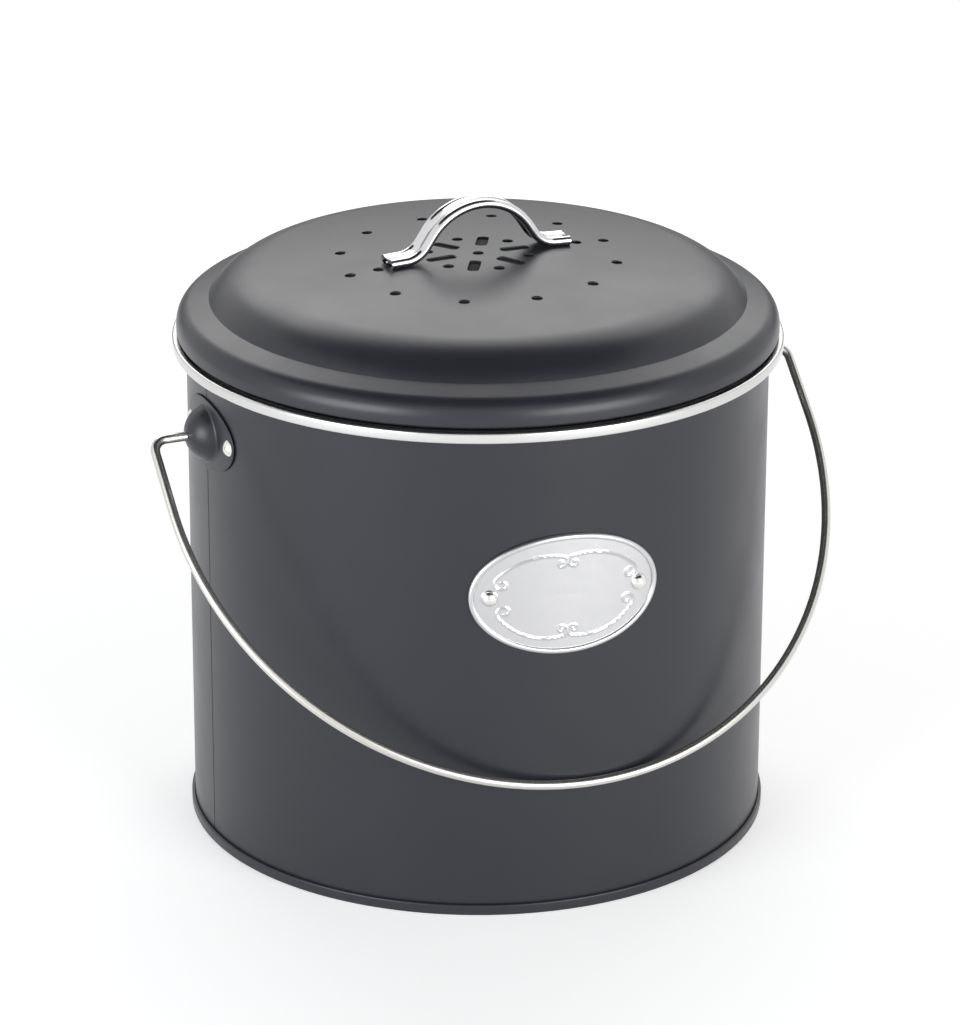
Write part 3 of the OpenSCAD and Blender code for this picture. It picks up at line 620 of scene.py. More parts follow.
def finish_of(slot):
    """The material of a slot, made when it is first asked for."""
    finish = bpy.context.scene.caddy_finish
    metals = {
        "rim_metal": ("tinned_band", finish.band, 0.22, (0.15, 0.15, 1), 0.05),
        "strap_chrome": ("strap_chrome", finish.chrome, 0.12, (0.3, 1, 0.3), 0.08),
        "badge_metal": ("badge_plate", finish.badge, 0.30, (1, 1, 1), 0.02),
        "rivet_metal": ("rivet_plate", finish.rivet, 0.16, (1, 1, 1), 0.06),
        "bail_metal": ("drawn_wire", finish.wire, 0.24, (0.2, 1, 0.2), 0.05),
        "hinge_metal": ("zinc_leaf", finish.zinc, 0.34, (0.2, 1, 1), 0.08),
        "screw_metal": ("zinc_small", finish.zinc, 0.30, (1, 1, 1), 0.08),
    }
    others = {
        "paint": ("anthracite_coat", powder_coat),
        "seal_rubber": ("seal_rubber", rubber),
        "carbon_felt": ("carbon_felt", carbon_felt),
    }
    if slot in metals:
        return bpy.data.materials.get(metals[slot][0]) or bright_metal(*metals[slot])
    name, make = others[slot]
    return bpy.data.materials.get(name) or make(finish)


# ---- Pail ----


def wall_inside():
    """Inside radius of the wall."""
    pail = bpy.context.scene.caddy_pail
    return pail.wall_radius - pail.sheet


class CADDY_OT_pail_wall(bpy.types.Operator):
    """Models the rolled wall with its flange and side seam"""

    bl_idname = "caddy.pail_wall"
    bl_label = "Pail wall"

    def execute(self, context):
        pail = context.scene.caddy_pail
        inside = wall_inside()
        top = high("body_wall", Z)
        face = [Vector((inside, low("body_wall", Z)))]
        face += arc((inside + pail.flange_bend, top - pail.flange_bend), pail.flange_bend, -90, 0, 8)
        face.append(Vector((high("rim_trim", X) - pail.band, top)))
        wall = revolved("pail_wall", sheet_outline(face, pail.sheet))
        clear_selection()
        depth = 2 * pail.seam_depth
        bpy.ops.mesh.primitive_cube_add(location=(-pail.wall_radius, 0, top / 2))
        seam = bpy.context.object
        seam.scale = (depth / 2, pail.seam_width / 2, (low("rim_trim", Z) - pail.sheet) / 2)
        bpy.ops.object.transform_apply(location=True, rotation=True, scale=True)
        cut(wall, seam)
        finish_piece(wall, "caddy", "paint", "body_wall")

        lap_turn = pail.lap_width / inside
        foot, head = pail.floor_z + TINY, top - 2 * pail.flange_bend
        corners = [(inside - pail.lap, foot), (inside, foot), (inside, head), (inside - pail.lap, head)]
        lap = draw_loop("side_seam_lap", [Vector((r, 0, z)) for r, z in corners])
        check(bpy.ops.mesh.spin(steps=6, angle=lap_turn, center=(0, 0, 0), axis=(0, 0, 1)))
        close_shell(fill=True)
        settle(lap, rotation=(0, 0, math.pi + lap_turn / 2))
        finish_piece(lap, "caddy", "paint")
        return {"FINISHED"}


class CADDY_OT_base_pan(bpy.types.Operator):
    """Models the pressed floor and the folded seam round the base"""

    bl_idname = "caddy.base_pan"
    bl_label = "Base pan"

    def execute(self, context):
        pail = context.scene.caddy_pail
        inside = wall_inside()
        seam_r, seam_z = high("base_pan", X), high("base_pan", Z)
        sheet, rounding = pail.sheet, pail.seam_round
        sunk = pail.floor_z - pail.panel_drop
        step_r = pail.panel_radius + 2 * pail.panel_drop
        inner_r = inside - sheet
        outline = [
            Vector((0, sunk)), Vector((pail.panel_radius, sunk)), Vector((step_r, pail.floor_z)),
            Vector((inside, pail.floor_z)), Vector((inside, sheet)), Vector((pail.wall_radius, sheet)),
            Vector((pail.wall_radius, seam_z - rounding / 2))]
        nook = rounding / 2
        outline += arc((pail.wall_radius + nook, seam_z - nook), nook, -90, 0, 4)[1:]
        outline += arc((seam_r - rounding, seam_z - rounding), rounding, 0, 90, 6)
        outline += arc((seam_r - rounding, rounding), rounding, 90, 180, 6)
        outline += arc((inner_r + rounding, rounding), rounding, 180, 270, 6)
        outline += [
            Vector((inner_r, pail.floor_z - sheet)), Vector((step_r, pail.floor_z - sheet)),
            Vector((pail.panel_radius, sunk - sheet)), Vector((0, sunk - sheet))]
        pan = revolved("base_pan_shell", outline)
        finish_piece(pan, "caddy", "paint", "base_pan")
        return {"FINISHED"}


class CADDY_OT_rim_band(bpy.types.Operator):
    """Models the bright band that is folded over the pail's flange"""

    bl_idname = "caddy.rim_band"
    bl_label = "Rim band"

    def execute(self, context):
        pail = context.scene.caddy_pail
        inside = wall_inside()
        outer, foot, top = high("rim_trim", X), low("rim_trim", Z), high("rim_trim", Z)
        metal, rounding = pail.band, pail.band_round
        lip = metal / 2
        hollow_r = outer - metal
        outline = [Vector((inside, top - metal))]
        outline += arc((inside + lip, top - lip), lip, -90, 0, 4)
        outline += arc((outer - rounding, top - rounding), rounding, 0, 90, 8)
        outline += arc((outer - rounding, foot + rounding), rounding, 90, 180, 8)
        outline += [
            Vector((pail.wall_radius, foot)), Vector((pail.wall_radius, foot + metal)),
            Vector((hollow_r - lip, foot + metal)), Vector((hollow_r, foot + metal + lip)),
            Vector((hollow_r, top - metal - lip)), Vector((hollow_r - lip, top - metal))]
        band = revolved("rim_band", outline)
        finish_piece(band, "caddy", "rim_metal", "rim_trim")
        return {"FINISHED"}


# ---- Ears, rivets and bail ----


def rivet(name, head, head_height, grip, radius, azimuth, height):
    """A rivet on the wall: domed head outside, clamped button inside."""
    tail = head_height / 2
    ball = (head ** 2 / 4 + head_height ** 2) / (2 * head_height)
    rim = math.degrees(math.asin(min(1, head / 2 / ball)))
    if head_height > ball:
        rim = 180 - rim
    outline = arc((0, head_height - ball), ball, 0, rim, 10)
    outline[0].x = 0
    shank = head / 4
    button = shank * BUTTON_SPREAD
    outline += [
        Vector((shank, 0)), Vector((shank, -grip)), Vector((button, -grip)),
        Vector((button, -grip - tail * BUTTON_SIDE)), Vector((shank, -grip - tail)),
        Vector((0, -grip - tail))]
    piece = revolved(name, outline, steps=48)
    settle(piece, rotation=(math.pi / 2, 0, 0))
    return put_on_wall(piece, radius, azimuth, height)


class CADDY_OT_ears(bpy.types.Operator):
    """Models the two pressed ears that hold the bail"""

    bl_idname = "caddy.ears"
    bl_label = "Ears"

    def execute(self, context):
        pail, bail = context.scene.caddy_pail, context.scene.caddy_bail
        half_w, half_h, sheet = bail.ear_width / 2, bail.ear_height / 2, bail.ear_sheet
        ball = ((bail.dome / 2) ** 2 + bail.dome_height ** 2) / (2 * bail.dome_height)
        ball_z = sheet + bail.dome_height - ball
        fillet = bail.dome_fillet
        fillet_z = sheet + fillet
        fillet_r = math.sqrt((ball + fillet) ** 2 - (fillet_z - ball_z) ** 2)
        hole = bail.wire / 2 + bail.clearance
        meet = math.degrees(math.atan2(fillet_r, fillet_z - ball_z))
        start = math.degrees(math.asin(hole / ball))
        profile = arc((0, ball_z), ball, start, meet, 18)
        profile += arc((fillet_r, fillet_z), fillet, meet - 180, -180, 6)[1:]
        stations = [(p.x, p.x, p.y) for p in profile]
        edge = sheet / 3
        steps = 8
        for i in range(1, steps + 1):
            share = i / steps
            stations.append((
                fillet_r + (half_w - edge - fillet_r) * share,
                fillet_r + (half_h - edge - fillet_r) * share, sheet))
        for p in arc((0, sheet - edge), edge, 0, 90, 4)[1:]:
            stations.append((half_w - edge + p.x, half_h - edge + p.x, p.y))
        ear = ringed("ear_left_plate", stations, 128)
        bpy.ops.mesh.select_all(action="SELECT")
        bpy.ops.mesh.normals_make_consistent(inside=False)
        bpy.ops.object.mode_set(mode="OBJECT")
        face_out(ear)
        modify(ear, "SOLIDIFY", thickness=sheet - edge - 2 * TINY, offset=-1, use_even_offset=True)
        bend_to_wall(ear, pail.wall_radius, bail.ear_width)
        other = copied(ear, "ear_right_plate")
        put_on_wall(ear, pail.wall_radius, LEFT, bail.axis_z)
        put_on_wall(other, pail.wall_radius, RIGHT, bail.axis_z)
        finish_piece(ear, "caddy", "paint", "ear_left")
        finish_piece(other, "caddy", "paint", "ear_right")
        return {"FINISHED"}


def face_out(obj):
    """Turns an open shell's faces towards -Y."""
    if sum(p.normal.y * p.area for p in obj.data.polygons) > 0:
        activate(obj)
        bpy.ops.object.mode_set(mode="EDIT")
        bpy.ops.mesh.select_all(action="SELECT")
        bpy.ops.mesh.flip_normals()
        bpy.ops.object.mode_set(mode="OBJECT")


class CADDY_OT_wall_rivets(bpy.types.Operator):
    """Models the rivets of the ears and of the badge"""

    bl_idname = "caddy.wall_rivets"
    bl_label = "Ear and badge rivets"

    def execute(self, context):
        pail, bail, badge = context.scene.caddy_pail, context.scene.caddy_bail, context.scene.caddy_badge
        turn = math.degrees(bail.rivet_span / 2 / pail.wall_radius)
        places = {
            "ear_rivet_left_front": LEFT + turn, "ear_rivet_left_rear": LEFT - turn,
            "ear_rivet_right_front": RIGHT - turn, "ear_rivet_right_rear": RIGHT + turn}
        for node, azimuth in places.items():
            piece = rivet(
                node + "_head", bail.rivet_head, bail.rivet_rise, pail.sheet + bail.ear_sheet,
                pail.wall_radius + bail.ear_sheet, azimuth, bail.axis_z)
            finish_piece(piece, "caddy", "rivet_metal", node)
        radius = pail.wall_radius + badge.plate
        turn = math.degrees(badge.rivet_span / 2 / radius)
        middle = FRONT - math.degrees(badge.turn)
        for node, side in (("badge_rivet_left", -1), ("badge_rivet_right", 1)):
            piece = rivet(
                node + "_head", badge.rivet_head, badge.rivet_rise, pail.sheet + badge.plate,
                radius, middle + side * turn, badge.centre_z)
            finish_piece(piece, "caddy", "rivet_metal", node)
        return {"FINISHED"}


class CADDY_OT_bail(bpy.types.Operator):
    """Models the wire bail, hanging in front of the pail"""

    bl_idname = "caddy.bail"
    bl_label = "Bail"

    def execute(self, context):
        pail, bail = context.scene.caddy_pail, context.scene.caddy_bail
        head_x = pail.wall_radius + bail.head_stand
        start = Vector((-head_x, 0, 0))
        vertices = 32
        angles = [math.tau * i / vertices for i in range(vertices)]
        ring = [start + Vector((0, math.cos(a), math.sin(a))) * bail.head / 2 for a in angles]
        wire = draw_loop("bail_wire_bent", ring)
        path = FlatPath(start, math.pi)
        path.run(bail.head_length)
        path.widen(bail.wire / bail.head)
        leg = bail.arch_radius - bail.corner - head_x - bail.head_length
        path.run(leg)
        path.bend(bail.corner, math.pi / 2, 12)
        path.run(bail.arch_drop - bail.corner)
        path.bend(bail.arch_radius, math.pi, 160)
        path.run(bail.arch_drop - bail.corner)
        path.bend(bail.corner, math.pi / 2, 12)
        path.run(leg)
        path.widen(bail.head / bail.wire)
        path.run(bail.head_length)
        close_shell(fill=True)
        reach = bail.arch_radius + bail.arch_drop
        rest = math.asin((pail.wall_radius + bail.rest_gap + bail.wire / 2) / reach)
        settle(wire, location=(0, 0, bail.axis_z), rotation=(-rest, 0, 0))
        finish_piece(wire, "bail", "bail_metal", "bail_wire")
        return {"FINISHED"}


# ---- Badge ----


def scroll_line(middle, middle_radius, main_radius, main_turn, start_heading):
    """A C-shaped scroll as flat points: a curl, a long arc and a second curl, all turning left."""
    pieces = [
        (0.55, 160), (1.1, 150), (middle_radius, start_heading), (main_radius, main_turn),
        (2.5, 150), (1.4, 190)]
    heading = start_heading - sum(turn for _, turn in pieces[:3])
    points = [Vector((0, 0))]
    for radius, turn in pieces:
        steps = max(6, int(abs(turn) / 6))
        for _ in range(steps):
            step = math.radians(turn / steps)
            angle = math.radians(heading) + step / 2
            chord = 2 * radius * math.sin(step / 2)
            points.append(points[-1] + Vector((math.cos(angle), math.sin(angle))) * chord)
            heading += turn / steps
    joint = sum(max(6, int(abs(turn) / 6)) for _, turn in pieces[:3])
    at = math.radians(start_heading)
    target = Vector(middle) + Vector((math.sin(at), -math.cos(at))) * middle_radius
    shift = target - points[joint]
    return [(p + shift) * MM for p in points]


def ornament_lines():
    """The four scrolls of the badge as loose lines in the XZ plane."""
    top = scroll_line((-2.2, 12.4), 2.0, 27, 54, 169)
    bottom = scroll_line((-2.2, 14.0), 2.0, 23.8, 62, 169)
    lines = []
    for flip_z, line in ((1, top), (-1, bottom)):
        for flip_x in (1, -1):
            lines.append(draw_line("scroll", [Vector((flip_x * p.x, 0, flip_z * p.y)) for p in line]))
            bpy.ops.object.mode_set(mode="OBJECT")
    return join(lines, "scrolls")


class CADDY_OT_badge(bpy.types.Operator):
    """Models the oval badge plate with its raised border and scrolls"""

    bl_idname = "caddy.badge"
    bl_label = "Badge plate"

    def execute(self, context):
        pail, badge = context.scene.caddy_pail, context.scene.caddy_badge
        half_w, half_h = badge.width / 2, badge.height / 2
        plate, bead = badge.plate, badge.border / 2
        stations = []
        back_rings = 12
        for i in range(back_rings):
            share = max(i / back_rings, TINY / half_h)
            stations.append((half_w * share, half_h * share, TINY))
        edge = BADGE_EDGE
        stations += [(half_w - edge, half_h - edge, TINY), (half_w, half_h, edge)]
        top = plate + badge.border_height
        for i in range(1, 17):
            a = math.pi * i / 16
            inset = bead * (1 - math.cos(a))
            base = edge + (plate - edge) * i / 16
            stand = base + (top - (edge + plate) / 2) * math.sin(a) ** 0.8
            stations.append((half_w - inset, half_h - inset, min(stand, top)))
        ring_step = BADGE_RING_STEP
        inner = half_h - badge.border
        count = int(inner * FINE_SHARE / ring_step)
        for i in range(1, count + 1):
            inset = badge.border + ring_step * i
            stations.append((half_w - inset, half_h - inset, plate))
        last_w, last_h, _ = stations[-1]
        for share in (0.8, 0.6, 0.4, 0.2, TINY / last_h):
            stations.append((last_w * share, last_h * share, plate))
        obj = ringed("badge_plate_pressed", stations, 384)
        close_shell()
        raise_lines(obj, ornament_lines(), badge.line_width / 2, badge.line_height)
        bend_to_wall(obj, pail.wall_radius, badge.width)
        put_on_wall(obj, pail.wall_radius, FRONT - math.degrees(badge.turn), badge.centre_z)
        finish_piece(obj, "caddy", "badge_metal", "badge_plate")
        return {"FINISHED"}


def raise_lines(obj, lines, reach, height):
    """Raises the front of a flat piece near the given lines, as a press would."""
    group = "near_line"
    badge = bpy.context.scene.caddy_badge
    front = [v.index for v in obj.data.vertices if v.co.y < -badge.plate * FRONT_SHARE]
    obj.vertex_groups.new(name=group).add(front, 1.0, "REPLACE")
    lines.location.y = -badge.plate
    bpy.context.view_layer.update()
    modify(
        obj, "VERTEX_WEIGHT_PROXIMITY", vertex_group=group, target=lines,
        proximity_mode="GEOMETRY", proximity_geometry={"EDGE"}, min_dist=reach, max_dist=0.0,
        falloff_type="SMOOTH")
    modify(obj, "DISPLACE", direction="Y", strength=-height, mid_level=0.0, vertex_group=group)
    obj.vertex_groups.clear()
    activate(lines)
    bpy.ops.object.delete()


# ---- Hinge ----


class CADDY_OT_hinge(bpy.types.Operator):
    """Models the hinge's leaves, pin and rivets"""

    bl_idname = "caddy.hinge"
    bl_label = "Hinge"

    def execute(self, context):
        for node, body in (("hinge_body_leaf", "caddy"), ("hinge_lid_leaf", "lid")):
            leaf = softened(node, node + "_pressed", LEAF_EDGE)
            finish_piece(leaf, body, "hinge_metal", node)
        pin = softened("hinge_pin", "hinge_pin_turned", PIN_EDGE)
        finish_piece(pin, "caddy", "hinge_metal", "hinge_pin")
        for node, body in (
                ("hinge_body_rivet_left", "caddy"), ("hinge_body_rivet_right", "caddy"),
                ("hinge_lid_rivet_left", "lid"), ("hinge_lid_rivet_right", "lid")):
            piece = softened(node, node + "_head", HINGE_RIVET_EDGE)
            finish_piece(piece, body, "hinge_metal", node)
        return {"FINISHED"}


# ---- Lid ----


def cap_centre():
    """Height of the centre of the lid's nearly flat top."""
    return high("lid_shell", Z) - bpy.context.scene.caddy_lid.cap_radius


def lid_height(radius):
    """Height of the lid's outer face at a radius on its nearly flat top."""
    cap = bpy.context.scene.caddy_lid.cap_radius
    return cap_centre() + math.sqrt(cap ** 2 - radius ** 2)


def dome_face():
    """The dome's outer face from the middle to the crease."""
    lid = bpy.context.scene.caddy_lid
    crease = Vector((lid.crease_radius, lid.ledge_z))
    centre = Vector((0, cap_centre()))
    to_crease = crease - centre
    reach = lid.cap_radius - lid.shoulder_radius
    squares = to_crease.length_squared + reach ** 2 - lid.shoulder_radius ** 2
    cosine = squares / (2 * to_crease.length * reach)
    cap_angle = math.atan2(to_crease.x, to_crease.y) - math.acos(cosine)
    shoulder = centre + reach * Vector((math.sin(cap_angle), math.cos(cap_angle)))
    to_end = crease - shoulder
    end = math.degrees(math.atan2(to_end.x, to_end.y))
    cap_degrees = math.degrees(cap_angle)
    face = arc(centre, lid.cap_radius, 0, cap_degrees, 24)
    face[0].x = 0
    return face + arc(shoulder, lid.shoulder_radius, cap_degrees, end, 30)[1:]


def ledge_under(radius):
    """Height of the sloping ledge's lower face at a radius."""
    lid, sheet = bpy.context.scene.caddy_lid, bpy.context.scene.caddy_pail.sheet
    fall = (radius - lid.crease_radius) * math.tan(lid.ledge_slope)
    return lid.ledge_z - fall - sheet / math.cos(lid.ledge_slope)


def vent_cutter(lid):
    """A round vent's cutter at the origin, flared where the coat rounds the edge."""
    radius, lip = lid.vent_diameter / 2, lid.vent_lip
    outline = [Vector((0, -4 * radius)), Vector((radius, -4 * radius))]
    outline += arc((radius + lip, -lip), lip, -90, 0, 4)
    outline += [Vector((radius + lip, radius)), Vector((0, radius))]
    return revolved("vent", outline, steps=40)


def slot_cutter(lid):
    """A slot's cutter at the origin, long in X."""
    half_l, half_w, corner = lid.slot_length / 2, lid.slot_width / 2, lid.slot_corner
    centres = [(half_l, half_w), (half_l, -half_w), (-half_l, -half_w), (-half_l, half_w)]
    points = []
    for i, (cx, cy) in enumerate(centres):
        middle = (cx - math.copysign(corner, cx), cy - math.copysign(corner, cy))
        round_corner = arc(middle, corner, 90 * i, 90 * i + 90, 8)
        points += [Vector((p.x, p.y, -2 * lid.slot_width)) for p in round_corner]
    obj = draw_loop("slot", points)
    lip = lid.vent_lip
    bpy.ops.mesh.extrude_region_move(
        TRANSFORM_OT_translate={"value": (0, 0, 2 * lid.slot_width - lip)})
    length, width, height = half_l, half_w, -lip
    for p in arc((lip, -lip), lip, -90, 0, 3)[1:]:
        bpy.ops.mesh.extrude_region_move(TRANSFORM_OT_translate={"value": (0, 0, p.y - height)})
        factor = ((half_l + p.x) / length, (half_w + p.x) / width, 1)
        bpy.ops.transform.resize(value=factor, center_override=(0, 0, 0))
        length, width, height = half_l + p.x, half_w + p.x, p.y
    bpy.ops.mesh.extrude_region_move(TRANSFORM_OT_translate={"value": (0, 0, lid.slot_width)})
    close_shell(fill=True)
    return obj


class CADDY_OT_lid_shell(bpy.types.Operator):
    """Models the pressed lid with its vents and rolled hem"""

    bl_idname = "caddy.lid_shell"
    bl_label = "Lid shell"

    def execute(self, context):
        pail, lid = context.scene.caddy_pail, context.scene.caddy_lid
        outer, hem_z, hem = high("lid_shell", X), low("lid_shell", Z), lid.hem_radius
        slope, bend = lid.ledge_slope, lid.edge_radius
        ledge = (outer - lid.crease_radius - bend * (1 - math.sin(slope))) / math.cos(slope)
        bend_z = lid.ledge_z - ledge * math.sin(slope) - bend * math.cos(slope)
        face = dome_face() + arc((outer - bend, bend_z), bend, math.degrees(slope), 90, 16)
        under = beside(face + [Vector((outer, hem_z))], pail.sheet)[:-1]
        inner = [Vector((max(p.x, 0), p.y)) for p in under]
        inner[0].x = 0
        over = math.degrees(math.acos((hem - pail.sheet) / hem))
        roll = arc((outer - hem, hem_z + hem), hem, 90, 270 + over, 20)
        shell = revolved("lid_shell_pressed", face + roll + inner[::-1])
        vent, slot = vent_cutter(lid), slot_cutter(lid)
        cutters = []

        def place(template, radius, azimuth, turned=0):
            copy = copied(template, "cutter")
            a = math.radians(azimuth)
            place_at = (radius * math.cos(a), radius * math.sin(a), lid_height(radius))
            cutters.append(settle(copy, location=place_at, rotation=(0, 0, math.radians(turned))))

        place(vent, 0, 0)
        for i in range(lid.ring_count):
            place(vent, lid.ring_radius, 360 * i / lid.ring_count)
        step = 360 / lid.slot_count
        for i in range(lid.slot_count):
            place(slot, lid.slot_radius, i * step, i * step)
            place(vent, lid.inner_radius, (i + 0.5) * step)
        for side in (LEFT, RIGHT):
            place(vent, lid.end_vent_radius, side)
        for template in (vent, slot):
            activate(template)
            bpy.ops.object.delete()
        cut(shell, join(cutters, "vents"))
        finish_piece(shell, "lid", "paint", "lid_shell")
        return {"FINISHED"}


class CADDY_OT_lid_collar(bpy.types.Operator):
    """Models the collar inside the lid and the seal round it"""

    bl_idname = "caddy.lid_collar"
    bl_label = "Collar and seal"

    def execute(self, context):
        pail, lid = context.scene.caddy_pail, context.scene.caddy_lid
        radius, foot = high("lid_collar", X), low("lid_collar", Z)
        bend, flange_r = lid.collar_bend, radius - lid.collar_flange
        bend_z = ledge_under(radius - bend) - bend / math.cos(lid.ledge_slope)
        face = [Vector((flange_r, ledge_under(flange_r)))]
        face += arc((radius - bend, bend_z), bend, math.degrees(lid.ledge_slope), 90, 6)
        face.append(Vector((radius, foot)))
        collar = revolved("lid_collar_rolled", sheet_outline(face, pail.sheet))
        finish_piece(collar, "lid", "paint", "lid_collar")

        outer, foot, top = high("lid_seal", X), low("lid_seal", Z), high("lid_seal", Z)
        rounding = lid.seal_round
        groove = (top - foot) / 8
        groove_z = foot + 3 * groove
        outline = [Vector((radius, top)), Vector((radius, foot))]
        outline += arc((outer - rounding, foot + rounding), rounding, 180, 90, 5)
        outline += arc((outer, groove_z), groove, 180, 360, 8)
        outline += arc((outer - rounding, top - rounding), rounding, 90, 0, 5)
        seal = revolved("lid_seal_moulded", outline)
        finish_piece(seal, "lid", "seal_rubber", "lid_seal")
        return {"FINISHED"}


class CADDY_OT_strap(bpy.types.Operator):
    """Models the chromed strap handle with its rolled edges"""

    bl_idname = "caddy.strap"
    bl_label = "Strap handle"

    def execute(self, context):
        lid, strap = context.scene.caddy_lid, context.scene.caddy_strap
        roll = strap.height / 2
        roll_y = strap.width / 2 - roll
        back = (low("lid_handle", Y) + high("lid_handle", Y)) / 2
        foot_slope = math.asin(strap.screw_x / lid.cap_radius)
        foot_turn = strap.slope - foot_slope
        foot_up = Vector((math.sin(foot_slope), math.cos(foot_slope)))
        foot_z = lid_height(math.hypot(strap.screw_x, back - roll_y))
        crown = Vector((0, strap.rise + roll - strap.crown_radius))
        lean = Vector((math.sin(strap.slope), math.cos(strap.slope)))
        straight = Vector((lean.y, -lean.x))
        flank = ((strap.crown_radius + strap.foot_bend) * math.cos(foot_turn) - strap.foot_bend - roll
                 + (crown - Vector((strap.screw_x, 0))).dot(foot_up)) / math.sin(foot_turn)
        bend = crown + strap.crown_radius * lean + flank * straight + strap.foot_bend * lean
        foot_start = bend - strap.foot_bend * foot_up
        foot = (strap.span / 2 - foot_start.x) / math.cos(foot_slope)
        end = foot_start + foot * Vector((foot_up.y, -foot_up.x))

        slit_turn = math.degrees(math.asin((roll_y - strap.slit / 2) / roll))
        dip_turn = math.degrees(math.acos(1 - strap.dip / roll))
        edge = arc((-roll_y, 0), roll, 180 - slit_turn, 360 + dip_turn, 22)
        face = edge + [Vector((-p.x, p.y)) for p in edge[::-1]]
        section = face + beside(face, strap.metal)[::-1]
        start = Vector((-end.x, back, foot_z + end.y))
        path = FlatPath(start, foot_slope)
        points = [start + Vector((0, p.x, 0)) + path.left() * p.y for p in section]
        piece = draw_loop("lid_strap", points)
        path.run(foot)
        path.bend(strap.foot_bend, foot_turn, 14)
        path.run(flank)
        path.bend(strap.crown_radius, -2 * strap.slope, 40)
        path.run(flank)
        path.bend(strap.foot_bend, foot_turn, 14)
        path.run(foot)
        close_shell(fill=True)
        finish_piece(piece, "lid", "strap_chrome", "lid_handle")
        return {"FINISHED"}


class CADDY_OT_lid_fixings(bpy.types.Operator):
    """Models the handle's screws and nuts and the filter's clips"""

    bl_idname = "caddy.lid_fixings"
    bl_label = "Lid fixings"

    def execute(self, context):
        for side in ("left", "right"):
            for part, edge in (("handle_screw_", SCREW_EDGE), ("handle_nut_", NUT_EDGE)):
                node = part + side
                piece = softened(node, node + "_zinc", edge)
                finish_piece(piece, "lid", "screw_metal", node)
        for i in range(1, 5):
            node = f"filter_clip_{i}"
            piece = softened(node, node + "_bent", CLIP_EDGE)
            finish_piece(piece, "lid", "screw_metal", node)
        return {"FINISHED"}


class CADDY_OT_filter(bpy.types.Operator):
    """Models the carbon felt pad under the vents"""

    bl_idname = "caddy.filter"
    bl_label = "Filter pad"

    def execute(self, context):
        pad = softened("filter_pad", "filter_pad_felt", PAD_EDGE, 3)
        finish_piece(pad, "lid", "carbon_felt", "filter_pad")
        return {"FINISHED"}


# ---- Studio ----


def softbox(name, azimuth, elevation, width, height, glow, tint=(1, 1, 1)):
    """A soft lamp round the caddy that looks at its middle. The camera sees the scene without it."""
    studio = bpy.context.scene.caddy_studio
    outward = Vector((
        math.sin(azimuth) * math.cos(elevation), -math.cos(azimuth) * math.cos(elevation),
        math.sin(elevation)))
    clear_selection()
    bpy.ops.object.light_add(
        type="AREA", location=Vector((0, 0, studio.target_z)) + studio.softbox_distance * outward)
    lamp = bpy.context.object
    lamp.name = name
    lamp.data.shape = "RECTANGLE"
    lamp.data.size = width
    lamp.data.size_y = height
    lamp.data.energy = glow * math.pi * width * height
    lamp.data.color = tint
    lamp.rotation_euler = outward.to_track_quat("Z", "Y").to_euler()
    lamp.visible_camera = False


def matt_board(name, finish, shade, width, height, place, tilt=0, turn=0):
    """A matt board that shades the reflections. It is tilted, placed and then turned round Z."""
    clear_selection()
    bpy.ops.mesh.primitive_plane_add(size=1)
    board = bpy.context.object
    name_object(board, name)
    board.scale = (width, height, 1)
    settle(board, rotation=(tilt, 0, 0))
    settle(board, location=place)
    settle(board, rotation=(0, 0, turn))
    material, _ = new_material(finish, (shade, shade, shade), 0.0, 0.9)
    board.data.materials.append(material)
    board.visible_camera = False


def background_rays(tree):
    """1 for the rays that see the background, and 0 for those that light the object."""
    rays = add_node(tree, "ShaderNodeLightPath", {})
    first = add_node(tree, "ShaderNodeMath", {
        0: rays.outputs["Is Camera Ray"], 1: rays.outputs["Is Glossy Ray"]}, operation="MAXIMUM")
    both = add_node(tree, "ShaderNodeMath", {
        0: first.outputs[0], 1: rays.outputs["Is Transmission Ray"]}, operation="MAXIMUM")
    return both.outputs[0]


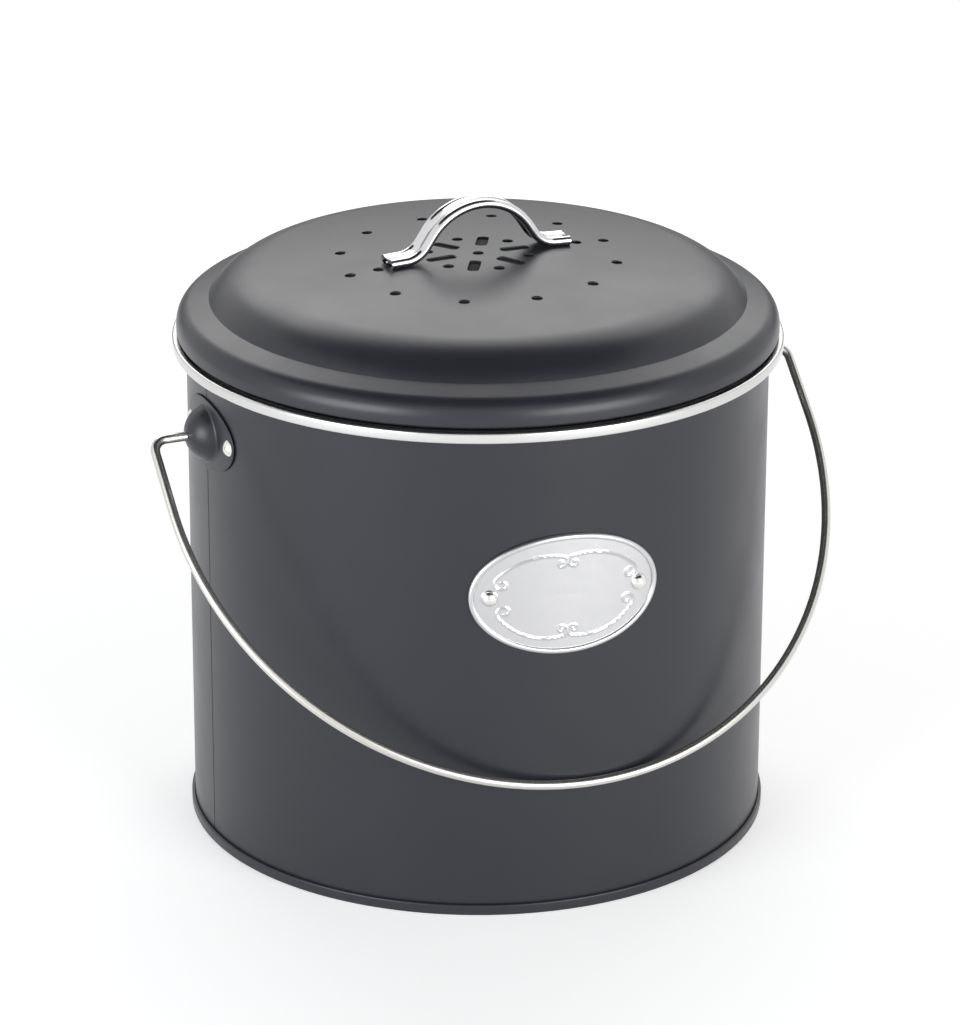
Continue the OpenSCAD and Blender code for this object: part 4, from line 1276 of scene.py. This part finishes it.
class CADDY_OT_studio(bpy.types.Operator):
    """Sets the pale floor, the soft light and the camera"""

    bl_idname = "caddy.studio"
    bl_label = "Studio"

    def execute(self, context):
        studio = context.scene.caddy_studio
        world = bpy.data.worlds.new("pale_studio")
        context.scene.world = world
        world.use_nodes = True
        tree = world.node_tree
        background = tree.nodes["Background"]
        strength = add_node(tree, "ShaderNodeMapRange", {
            "Value": background_rays(tree), "To Min": studio.world, "To Max": 1.0})
        background.inputs["Color"].default_value = (1, 1, 1, 1)
        tree.links.new(strength.outputs["Result"], background.inputs["Strength"])

        clear_selection()
        bpy.ops.mesh.primitive_plane_add(size=studio.floor)
        floor = bpy.context.object
        name_object(floor, "studio_floor")
        material, shader = new_material("pale_floor", (0.9, 0.9, 0.9), 0.0, 0.9)
        shader.inputs["Specular IOR Level"].default_value = 0.0
        tree = material.node_tree
        glow = add_node(tree, "ShaderNodeEmission", {
            "Color": (1, 1, 1, 1), "Strength": studio.floor_glow})
        total = add_node(tree, "ShaderNodeAddShader", {0: shader.outputs[0], 1: glow.outputs[0]})
        mix = add_node(tree, "ShaderNodeMixShader", {
            0: background_rays(tree), 1: shader.outputs[0], 2: total.outputs[0]})
        tree.links.new(mix.outputs[0], tree.nodes["Material Output"].inputs["Surface"])
        floor.data.materials.append(material)

        matt_board(
            "studio_ceiling", "dark_ceiling", 0.02, studio.ceiling, studio.ceiling,
            (0, 0, studio.ceiling_z))
        front = (studio.front_elevation, studio.front_width, studio.front_height, studio.front_glow)
        softbox("left_softbox", studio.azimuth - studio.left_turn, *front, tint=studio.left_tint)
        softbox("right_softbox", studio.azimuth + studio.right_turn, *front)
        softbox(
            "rear_softbox", studio.azimuth + math.pi, studio.rear_elevation,
            studio.rear_width, studio.rear_height, studio.rear_glow)
        matt_board(
            "studio_screen", "grey_screen", 0.3, studio.screen_width, studio.screen_height,
            (0, -studio.screen_distance, studio.screen_z), math.pi / 2, studio.azimuth + math.pi)

        view = Vector((
            math.sin(studio.azimuth) * math.cos(studio.elevation),
            -math.cos(studio.azimuth) * math.cos(studio.elevation),
            math.sin(studio.elevation)))
        right = Vector((math.cos(studio.azimuth), math.sin(studio.azimuth), 0))
        target = Vector((0, 0, studio.target_z)) + right * studio.sideways
        clear_selection()
        bpy.ops.object.camera_add(location=target + view * studio.distance)
        camera = bpy.context.object
        camera.name = "photo_camera"
        look = (-view).to_track_quat("-Z", "Y").to_matrix()
        camera.rotation_euler = (look @ Matrix.Rotation(studio.roll, 3, "Z")).to_euler()
        camera.data.lens = studio.lens
        camera.data.sensor_fit = "AUTO"
        camera.data.sensor_width = 36
        context.scene.camera = camera
        context.scene.view_settings.view_transform = "Standard"
        return {"FINISHED"}


# ---- Add-on ----


class CADDY_PT_panel(bpy.types.Panel):
    """Lists the caddy's pieces in the sidebar"""

    bl_idname = "CADDY_PT_panel"
    bl_label = "Compost caddy"
    bl_space_type = "VIEW_3D"
    bl_region_type = "UI"
    bl_category = "Caddy"

    def draw(self, context):
        for piece in PIECES:
            self.layout.operator(piece.bl_idname)


GROUPS = {
    "caddy_pail": CaddyPail, "caddy_lid": CaddyLid, "caddy_strap": CaddyStrap, "caddy_bail": CaddyBail,
    "caddy_badge": CaddyBadge, "caddy_finish": CaddyFinish, "caddy_studio": CaddyStudio}
PIECES = [
    CADDY_OT_studio, CADDY_OT_pail_wall, CADDY_OT_base_pan, CADDY_OT_rim_band, CADDY_OT_ears,
    CADDY_OT_wall_rivets, CADDY_OT_badge, CADDY_OT_hinge, CADDY_OT_lid_shell, CADDY_OT_lid_collar,
    CADDY_OT_strap, CADDY_OT_lid_fixings, CADDY_OT_filter, CADDY_OT_bail]


def register():
    """Registers the classes and puts the settings on the scene."""
    for cls in [*GROUPS.values(), *PIECES, CADDY_PT_panel]:
        bpy.utils.register_class(cls)
    for name, group in GROUPS.items():
        setattr(bpy.types.Scene, name, PointerProperty(type=group))


def unregister():
    """Takes the settings and the classes away again."""
    for name in GROUPS:
        delattr(bpy.types.Scene, name)
    for cls in [CADDY_PT_panel, *PIECES, *GROUPS.values()]:
        bpy.utils.unregister_class(cls)


def main():
    """Builds every piece and the studio."""
    register()
    for piece in PIECES:
        group, name = piece.bl_idname.split(".")
        check(getattr(getattr(bpy.ops, group), name)())


if __name__ == "__main__":
    main()
